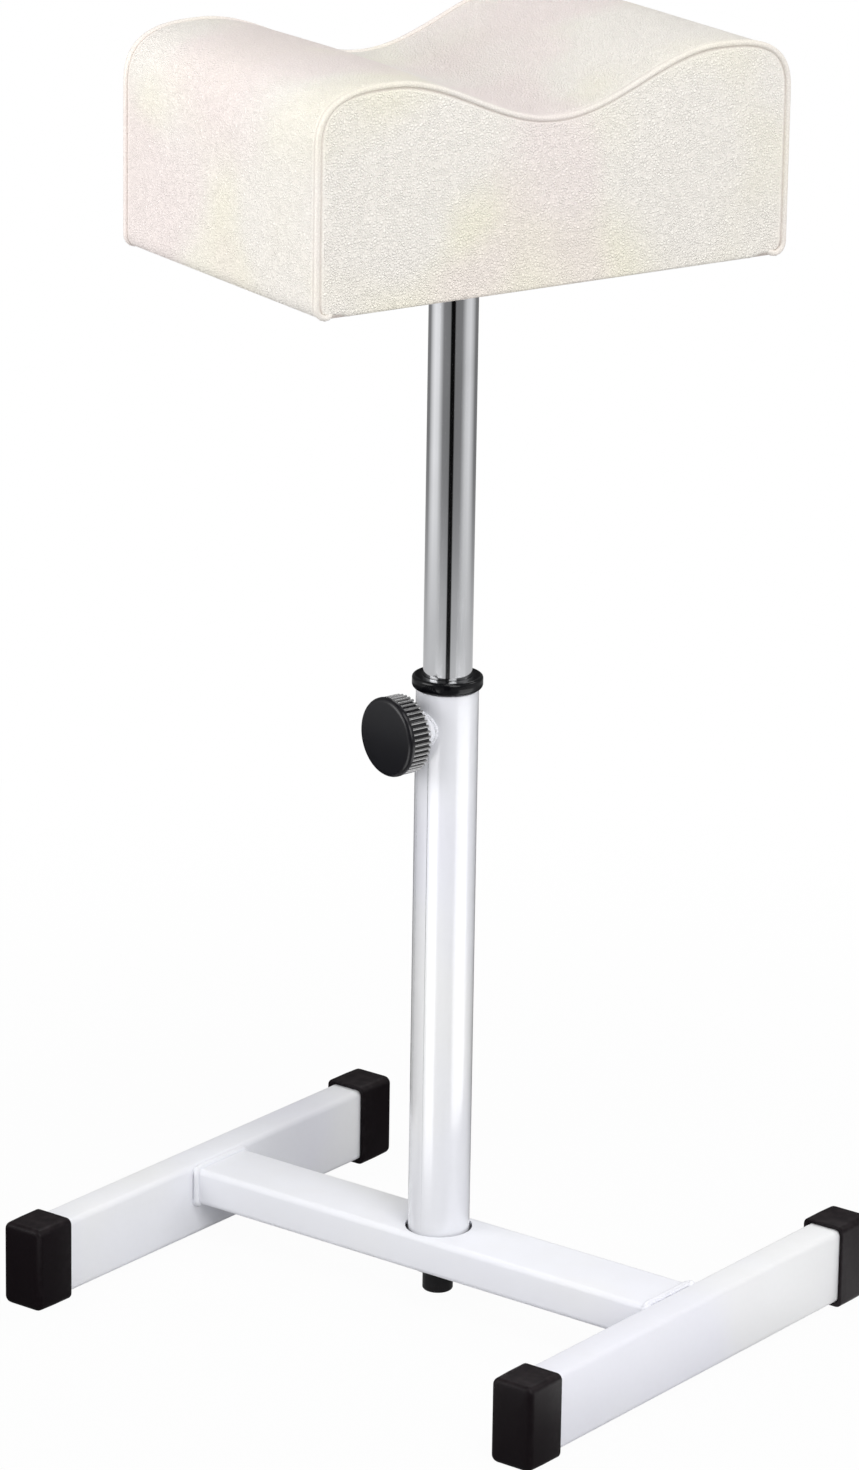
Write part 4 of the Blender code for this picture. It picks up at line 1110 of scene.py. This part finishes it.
def addEndPanel(name, points, columns, rows, side, node):
    # side is -1 for the front end and 1 for the rear
    gap, hemEnd = cushion["seamGap"], halfWidth - cushion["hem"] - panel["hemShort"]
    inner, seamShade = [Vector(p) for p in points], [0.0] * len(points)
    for i, point in enumerate(inner):
        row, column = divmod(i, columns)
        edge = min(row, rows - 1 - row, column, columns - 1 - column)
        point.y += side * seamPucker(point.x + point.z * 1.3, edge * cushion["step"], 3 + side)
        if edge == 0:
            seamShade[i] = panel["edgeSeamShade"]
    border = list(range(columns)) + [r * columns + columns - 1 for r in range(1, rows)]
    border += [(rows - 1) * columns + c for c in range(columns - 2, -1, -1)]
    border += [r * columns for r in range(rows - 2, 0, -1)]
    spots = [inner[i] for i in border]
    count, tuckStart = len(border), len(inner)
    tucked, deep = [], []
    for k, spot in enumerate(spots):
        out = outward(spots[k - 1], spots[(k + 1) % count])
        if out.dot(spot - Vector((0, spot.y, cushion["middle"]))) < 0:
            out = -out
        if spot.z < gap + panel["hemTouch"] and abs(spot.x) < hemEnd + panel["hemFade"]:
            turnIn = gap * panel["hemTurn"]
            tucked.append(Vector((spot.x, side * (halfDepth - turnIn), turnIn)))
            deep.append(Vector((spot.x, side * (halfDepth - gap), 0.0)))
        else:
            tucked.append(spot + out * panel["tuckOut"] - Vector((0, side * panel["tuckIn"], 0)))
            deep.append(spot + out * panel["deepOut"] - Vector((0, side * panel["deepIn"], 0)))
    inner += tucked + deep
    seamShade += [panel["tuckSeamShade"]] * count + [panel["deepSeamShade"]] * count
    faces = gridFaces(0, columns, rows)
    for k in range(count):
        j = (k + 1) % count
        faces.append((border[k], border[j], tuckStart + j, tuckStart + k))
        faces.append((tuckStart + k, tuckStart + j, tuckStart + count + j, tuckStart + count + k))
    # the lower edge goes on as a hem under the board
    hem = [k for k in range(columns) if abs(spots[k].x) < hemEnd]
    last = [tuckStart + count + k for k in hem]
    for share in panel["hemRows"]:
        following = list(range(len(inner), len(inner) + len(hem)))
        y = side * (halfDepth - gap - (cushion["hem"] - gap) * share)
        inner += [Vector((spots[k].x, y, 0.0)) for k in hem]
        faces += [(last[i], last[i + 1], following[i + 1], following[i]) for i in range(len(hem) - 1)]
        last = following
    seamShade += [0.0] * (len(inner) - len(seamShade))
    # the hem under the board takes no painted shade
    for i, point in enumerate(inner):
        if point.z < gap * panel["hemFlat"] and abs(point.x) < halfWidth - cushion["lowerCorner"]:
            seamShade[i] = 0.0
    finishCover(name, inner, faces, seamShade, node)


piping = {
    "radius": 0.0015, "sides": 16, "step": 0.002, "sink": 0.0011, "seamShade": 0.56, "least": 0.0001,
    "sideHeight": 0.02,
    "tuck": [(0.0, 0.0, 0.0), (0.002, 0.0006, 0.0004), (0.004, 0.0022, 0.0018), (0.006, 0.005, 0.0042)],
}


def makeCordTree():
    # a round cord along a path, closed at both ends
    given = newGrowth("roundCord", radius=0.002, sides=16, spacing=0.002)
    cord = swept(evenPath(given), ring(given["sides"], given["radius"]))
    return endGrowth(given, cord)


def addPipings():
    tree = makeCordTree()
    sink, corner = piping["sink"], halfWidth - cushion["lowerCorner"]
    y = halfDepth - sink
    sizes = {"radius": piping["radius"], "sides": piping["sides"], "spacing": piping["step"]}
    line = drawnIn(evenly(crossSection(), piping["step"]), sink)
    floor, above = sink + piping["least"], piping["sideHeight"]
    line = [(x, z) for x, z in line if z > floor and abs(x) > corner or z > above]
    for name, side, node in (("pipingFront", -1, "piping_front"), ("pipingRear", 1, "piping_rear")):
        # both ends go in between the covers under the cushion
        ends = [(corner - inwards, side * (y - deeper), sink + up) for inwards, up, deeper in piping["tuck"]]
        points = ends[::-1] + [(x, side * y, z) for x, z in line] + [(-x, y, z) for x, y, z in ends]
        path = pathMesh(name, [cushionMatrix @ Vector(point) for point in points])
        mesh = grown(name, path, tree, finish=leather, **sizes)
        # painted shade over the whole cord, which also keeps its grain flat
        seamAttribute(mesh, [piping["seamShade"]] * len(mesh.vertices))
        newPiece(name, mesh, leather, "post", "ivory_leather", node)


foam = {
    "clearance": 0.0004, "round": 0.005, "roundSteps": 5, "crown": 0.0004, "rows": 17, "poreDepth": 0.0004,
    "aboveBoard": 0.0003, "outlineStep": 0.005, "cells": 900.0, "patch": 0.05, "patchAmount": 0.6,
    "shades": [(238, 228, 186), (232, 218, 168), (242, 234, 204)], "poreShade": (196, 178, 122),
}


def makeFoamLook():
    material, place = startFinish("openFoam")
    cells = put("TexVoronoi", {"Vector": place, "Scale": foam["cells"]})["Distance"]
    colour = patched(place, foam["patch"], foam["patchAmount"], *map(screenColour, foam["shades"]))
    # painted shade: the sunken pores are darkened towards the pore colour
    pores = between(cells, 0.15, 0.55)
    return endFinish(material, {
        "Base Color": blendColours(product(pores, 0.35), colour, screenColour(foam["poreShade"])),
        "Roughness": 0.92,
        "Normal": bumpFrom(sums("SUBTRACT", 1.0, pores), foam["poreDepth"]),
    })


def addFoam():
    # the foam inside the covers, crowned like them
    gap, bottom = cushion["thickness"] + foam["clearance"], cushion["board"] + foam["aboveBoard"]
    outline = evenly(crossSection(bottom), foam["outlineStep"])
    curve, steps = foam["round"], foam["roundSteps"]
    flatReach = halfDepth - gap - curve
    turns = [math.radians(90) * step / steps for step in range(1, steps + 1)]
    ends = [(gap + curve * (1 - math.cos(turn)), flatReach + curve * math.sin(turn), 0.0) for turn in turns]
    shares = [-1 + 2 * row / (foam["rows"] - 1) for row in range(foam["rows"])]
    rings = [(inset, -y, swell) for inset, y, swell in reversed(ends)]
    rings += [(gap, flatReach * share, foam["crown"] * (1 - share * share)) for share in shares] + ends
    placed = []
    for inset, y, swell in rings:
        moved = drawnIn(outline, lambda z: inset - swell * crownLift(z))
        placed.append([cushionMatrix @ Vector((x, y, max(z, bottom))) for x, z in moved])
    piece = newPiece("foamCore", skin("foamCore", placed, 60), foamLook, "post", "foam", "foam_block")


lining = {
    "step": 0.009, "sag": 0.0004, "waves": 45, "shades": [(44, 44, 46), (56, 56, 58), (36, 36, 38)],
    "fibre": (92, 92, 95), "emboss": 0.0002, "dots": 620.0, "fibres": 1400.0, "patch": 0.03,
    "patchAmount": 0.6,
}


def makeLiningLook():
    # black spun cloth with a dot emboss
    material, place = startFinish("liningCloth")
    slanted = {"Rotation": (0, 0, math.radians(45) - cushion["turn"])}
    dotPlace = put("Mapping", {"Vector": place, **slanted})[0]
    dotted = {"Vector": dotPlace, "Scale": lining["dots"], "Randomness": 0.0}
    dots = put("TexVoronoi", dotted)["Distance"]
    fibres = clouds(place, lining["fibres"], 4.0, Distortion=1.2)
    colour = patched(place, lining["patch"], lining["patchAmount"], *map(screenColour, lining["shades"]))
    pale = between(fibres, 0.45, 0.75, 0.0, 0.35)
    return endFinish(material, {
        "Base Color": blendColours(pale, colour, screenColour(lining["fibre"])),
        "Roughness": scaled(fibres, 0.15, 0.8),
        "Sheen Weight": 0.2,
        "Normal": bumpFrom(scaled(fibres, 0.4, between(dots, 0.18, 0.34)), lining["emboss"]),
    })


def addLining():
    # the dust cloth, cut into a fine grid so that it can sag between its staples
    work = mergedCopy("lining_cloth")
    for direction, size in ((across, halfWidth), (along, halfDepth)):
        for step in range(-int(size / lining["step"]), int(size / lining["step"]) + 1):
            bmesh.ops.bisect_plane(
                work, geom=work.verts[:] + work.edges[:] + work.faces[:], dist=1e-7,
                plane_co=direction * step * lining["step"], plane_no=direction,
            )
    wide, deep = reach("lining_cloth", across)[1], reach("lining_cloth", along)[1]
    for corner in work.verts:
        u, v = corner.co.dot(across) / wide, corner.co.dot(along) / deep
        hold = max(0.0, (1 - u * u) * (1 - v * v))
        wave = noise.noise(corner.co * lining["waves"]) * 0.5 + 0.5
        corner.co.z -= lining["sag"] * hold**0.5 * wave
    mesh = meshFrom(work, "liningCloth", 60)
    sheet = newPiece("liningCloth", mesh, liningLook, "post", "lining_cloth", "lining_cloth")


staples = {
    "outside": 0.006, "pathStep": 0.011, "below": 0.0001,
    "wire": {"spacing": 0.022, "width": 0.010, "radius": 0.0004, "drop": 0.0016, "askew": 0.2, "seed": 11},
}


def makeStapleTree():
    # thin wires with bent ends, one after another along a path and slightly askew
    given = newGrowth("staples", **staples["wire"])
    half = product(given["width"], 0.5)
    wire = straightLine(vector(X=product(half, -1.0)), vector(X=half))
    bend = sums("POWER", fromMiddle(), 12.0)
    drop = vector(Z=product(bend, given["drop"]))
    wire = growth("SetPosition", {"Geometry": wire, "Offset": drop})
    staple = swept(wire, ring(8, given["radius"]))
    turn = facing(growth("InputTangent"), pivot_axis="Z")
    low, high = vector(Z=product(given["askew"], -1.0)), vector(Z=given["askew"])
    spread = {0: low, 1: high, "Seed": given["seed"]}
    tilt = put("FunctionNodeRandomValue", spread, data_type="FLOAT_VECTOR")[0]
    tilt = put("FunctionNodeEulerToRotation", {0: tilt})[0]
    turn = put("FunctionNodeRotateRotation", {0: turn, 1: tilt})[0]
    return endGrowth(given, copies(evenPath(given), staple, turn))


def addStaples():
    # along the lining's border, through cloth and hem into the board
    wide, deep = (reach("lining_cloth", way)[1] + staples["outside"] for way in (across, along))
    corners = [(wide, deep), (-wide, deep), (-wide, -deep), (wide, -deep)]
    line = []
    for corner, following in zip(corners, corners[1:] + corners[:1]):
        line += evenly([corner, following], staples["pathStep"])[:-1]
    places = [cushionMatrix @ Vector((x, y, -staples["below"])) for x, y in line]
    path = pathMesh("staples", places, cyclic=True)
    mesh = grown("staples", path, makeStapleTree(), finish=zincSteel)
    newPiece("staples", mesh, zincSteel, "post", "zinc_steel")


foamLook = makeFoamLook()
plywoodLook = makePlywoodLook()
liningLook = makeLiningLook()
refined("base_board", "plywoodBoard", plywoodLook, "post", "plywood", "full")
wrapShape, frontShape, rearShape = coverShapes()
addWrap(*wrapShape)
addEndPanel("cushionEndFront", *frontShape, -1, "cover_end_front")
addEndPanel("cushionEndRear", *rearShape, 1, "cover_end_rear")
addPipings()
addFoam()
addLining()
addStaples()
print("stage: cushion dressed")


camera = {
    "azimuth": 37.3, "elevation": 17.8, "roll": 0.9, "distance": 3.2933,
    "targetHeight": 0.3081, "sideOffset": -0.0087, "pixelFocus": 6500, "photoHeight": 1470,
}


def heading(azimuth, elevation):
    turn, lift = math.radians(azimuth), math.radians(elevation)
    return Vector((math.sin(turn) * math.cos(lift), -math.cos(turn) * math.cos(lift), math.sin(lift)))


def addCamera():
    back = heading(camera["azimuth"], camera["elevation"])
    right = heading(camera["azimuth"] + 90, 0)
    up = back.cross(right)
    place = upright * camera["targetHeight"] + right * camera["sideOffset"] + back * camera["distance"]
    roll = math.radians(camera["roll"])
    tiltedRight = right * math.cos(roll) + up * math.sin(roll)
    tiltedUp = up * math.cos(roll) - right * math.sin(roll)
    data = bpy.data.cameras.new("photoCamera")
    data.sensor_fit, data.sensor_width = "AUTO", 36
    data.lens = data.sensor_width * camera["pixelFocus"] / camera["photoHeight"]
    data.clip_end = 100
    made = newObject("photoCamera", data)
    turn = Matrix((tiltedRight, tiltedUp, back)).transposed().to_4x4()
    made.matrix_world = Matrix.Translation(place) @ turn
    bpy.context.scene.camera = made


# what metal and gloss see round the object, by the angle from the camera's side, and how bright
studio = {
    "farBands": [
        (-180, 0.03), (-174, 0.22), (-128, 0.22), (-104, 0.75), (-88, 0.95), (-66, 0.85), (-42, 0.24),
        (-8, 0.2), (8, 0.2), (42, 0.22), (66, 0.7), (88, 0.8), (104, 0.6), (128, 0.2), (174, 0.2),
        (180, 0.03),
    ],
    "nearBands": [
        (-180, 0.03), (-120, 0.03), (-90, 0.1), (-66, 0.25), (-56, 3.2), (-30, 3.2), (-22, 0.4), (34, 0.4),
        (44, 3.2), (86, 3.2), (96, 0.9), (112, 0.4), (135, 0.1), (180, 0.03),
    ],
    "darkLine": [
        (-180, 0.1), (-175, 1.0), (-12, 1.0), (-8.5, 0.02), (8.5, 0.02), (12, 1.0), (175, 1.0), (180, 0.1),
    ],
    "stripsStart": 0.15, "stripsFull": 0.27, "stripsEnd": 1.06, "stripsBlend": 0.02, "underfoot": 0.3,
    "bandsStart": 0.95, "bandsFull": 1.75, "lampCentre": 0.3,
    "floorSize": 14, "floorShine": 0.6, "floorGrey": (206, 206, 207),
    "whiteStart": 0.2, "whiteFull": 0.9, "floorWhite": 0.965, "skyFill": 0.3,
}


def bandRamp(angle, stops):
    # brightness by angle, held in a ramp that runs from -180 to 180 degrees
    share = put("MapRange", {"Value": angle, "From Min": -math.pi, "From Max": math.pi})[0]
    share = put("ValToRGB", {"Fac": share})
    ramp = share[0].node
    highest = max(value for degrees, value in stops)
    elements = ramp.color_ramp.elements
    elements.remove(elements[1])
    for number, (degrees, value) in enumerate(stops):
        place = (degrees + 180) / 360
        stop = elements[0] if number == 0 else elements.new(place)
        stop.position = place
        stop.color = (value / highest, value / highest, value / highest, 1)
    return product(share[0], highest)


def makeStudioBands():
    given = newGroup("studioBands", {"far": "Float", "near": "Float", "line": "Float"}, vector="Vector")
    turn = {"Vector": given["vector"], "Angle": -math.radians(camera["azimuth"])}
    fromCamera = put("VectorRotate", turn, rotation_type="Z_AXIS")[0]
    split = put("SeparateXYZ", {0: fromCamera})
    angle = sums("ARCTAN2", split["X"], product(split["Y"], -1.0))
    bands = (("far", "farBands"), ("near", "nearBands"), ("line", "darkLine"))
    return endGroup(**{label: bandRamp(angle, studio[stops]) for label, stops in bands})


studioBands = makeStudioBands()


def mirrors(paths):
    # the rays that metal, gloss and glass send out
    return paths["Is Glossy Ray"], paths["Is Transmission Ray"]


def addFloor():
    work = bmesh.new()
    bmesh.ops.create_grid(work, x_segments=4, y_segments=4, size=studio["floorSize"])
    floor = newObject("floor", meshFrom(work, "floor"))
    material, place = startFinish("paleFloor")
    material.cycles.emission_sampling = "NONE"
    away = put("VectorMath", {0: place}, operation="LENGTH")["Value"]
    paths = put("LightPath")
    matte = put("BsdfDiffuse", {"Color": screenColour(studio["floorGrey"])})[0]
    white = put("Emission", {"Strength": 1.0})[0]
    whiteShare = between(away, studio["whiteStart"], studio["whiteFull"], studio["floorWhite"], 1.0)
    whiteShare = product(whiteShare, paths["Is Camera Ray"])
    seen = put("MixShader", {0: whiteShare, 1: matte, 2: white})[0]
    bands = useGroup(studioBands, place)
    end, half = studio["stripsEnd"], studio["stripsBlend"]
    beyond = between(away, end * studio["bandsStart"], studio["bandsFull"])
    faded = sums("POWER", studio["floorShine"], sums("SUBTRACT", 1.0, beyond))
    banded = product(faded, sums("POWER", bands["far"], beyond))
    banded = product(banded, bands["line"])
    strips = between(away, studio["stripsStart"], studio["stripsFull"])
    strips = blend(strips, studio["underfoot"], bands["near"])
    past = between(away, end - half, end + half)
    mirrored = put("Emission", {"Strength": blend(past, strips, banded)})[0]
    glossy = sums("MAXIMUM", *mirrors(paths))
    look = put("MixShader", {0: glossy, 1: seen, 2: mirrored})[0]
    # from below the camera looks through the floor
    clear = put("BsdfTransparent")[0]
    below = product(put("NewGeometry")["Backfacing"], paths["Is Camera Ray"])
    look = put("MixShader", {0: below, 1: look, 2: clear})[0]
    put("OutputMaterial", {"Surface": look})
    floor.data.materials.append(material)


def setWorld():
    world = bpy.data.worlds.new("studio")
    bpy.context.scene.world = world
    world.use_nodes = True
    building["tree"] = world.node_tree
    world.node_tree.nodes.clear()
    paths = put("LightPath")
    bands = useGroup(studioBands, put("TexCoord")["Generated"])
    bands = product(bands["far"], bands["line"])
    strength = blend(sums("MAXIMUM", *mirrors(paths)), studio["skyFill"], bands)
    strength = blend(paths["Is Camera Ray"], strength, 1.0)
    sky = put("Background", {"Color": (1, 1, 1, 1), "Strength": strength})[0]
    put("OutputWorld", {"Surface": sky})


lamps = [
    # name, degrees to the right of the camera, elevation, distance, size, watts, height it aims at, spread
    ("leftSoftbox", -70, 23, 1.09, 0.8, 2.7, 0.62, 100),
    ("frontSoftbox", 25, 24, 2.0, 1.2, 17.5, 0.3, 180),
    ("highSoftbox", 15, 62, 2.1, 1.1, 15, 0.3, 180),
    ("backSoftbox", 170, 50, 2.4, 1.2, 12, 0.3, 180),
    ("sideSoftbox", 100, 34, 1.6, 0.5, 3, 0.3, 180),
]


def addLamps():
    for name, turn, lift, distance, size, watts, aim, spread in lamps:
        data = bpy.data.lights.new(name, "AREA")
        data.shape, data.size, data.energy, data.spread = "DISK", size, watts, math.radians(spread)
        place = upright * studio["lampCentre"] + heading(camera["azimuth"] + turn, lift) * distance
        aimed = (place - upright * aim).to_track_quat("Z", "Y").to_matrix().to_4x4()
        newObject(name, data).matrix_world = Matrix.Translation(place) @ aimed


addCamera()
addFloor()
setWorld()
addLamps()
bpy.context.scene.view_settings.view_transform = "Standard"
print("stage: studio ready")
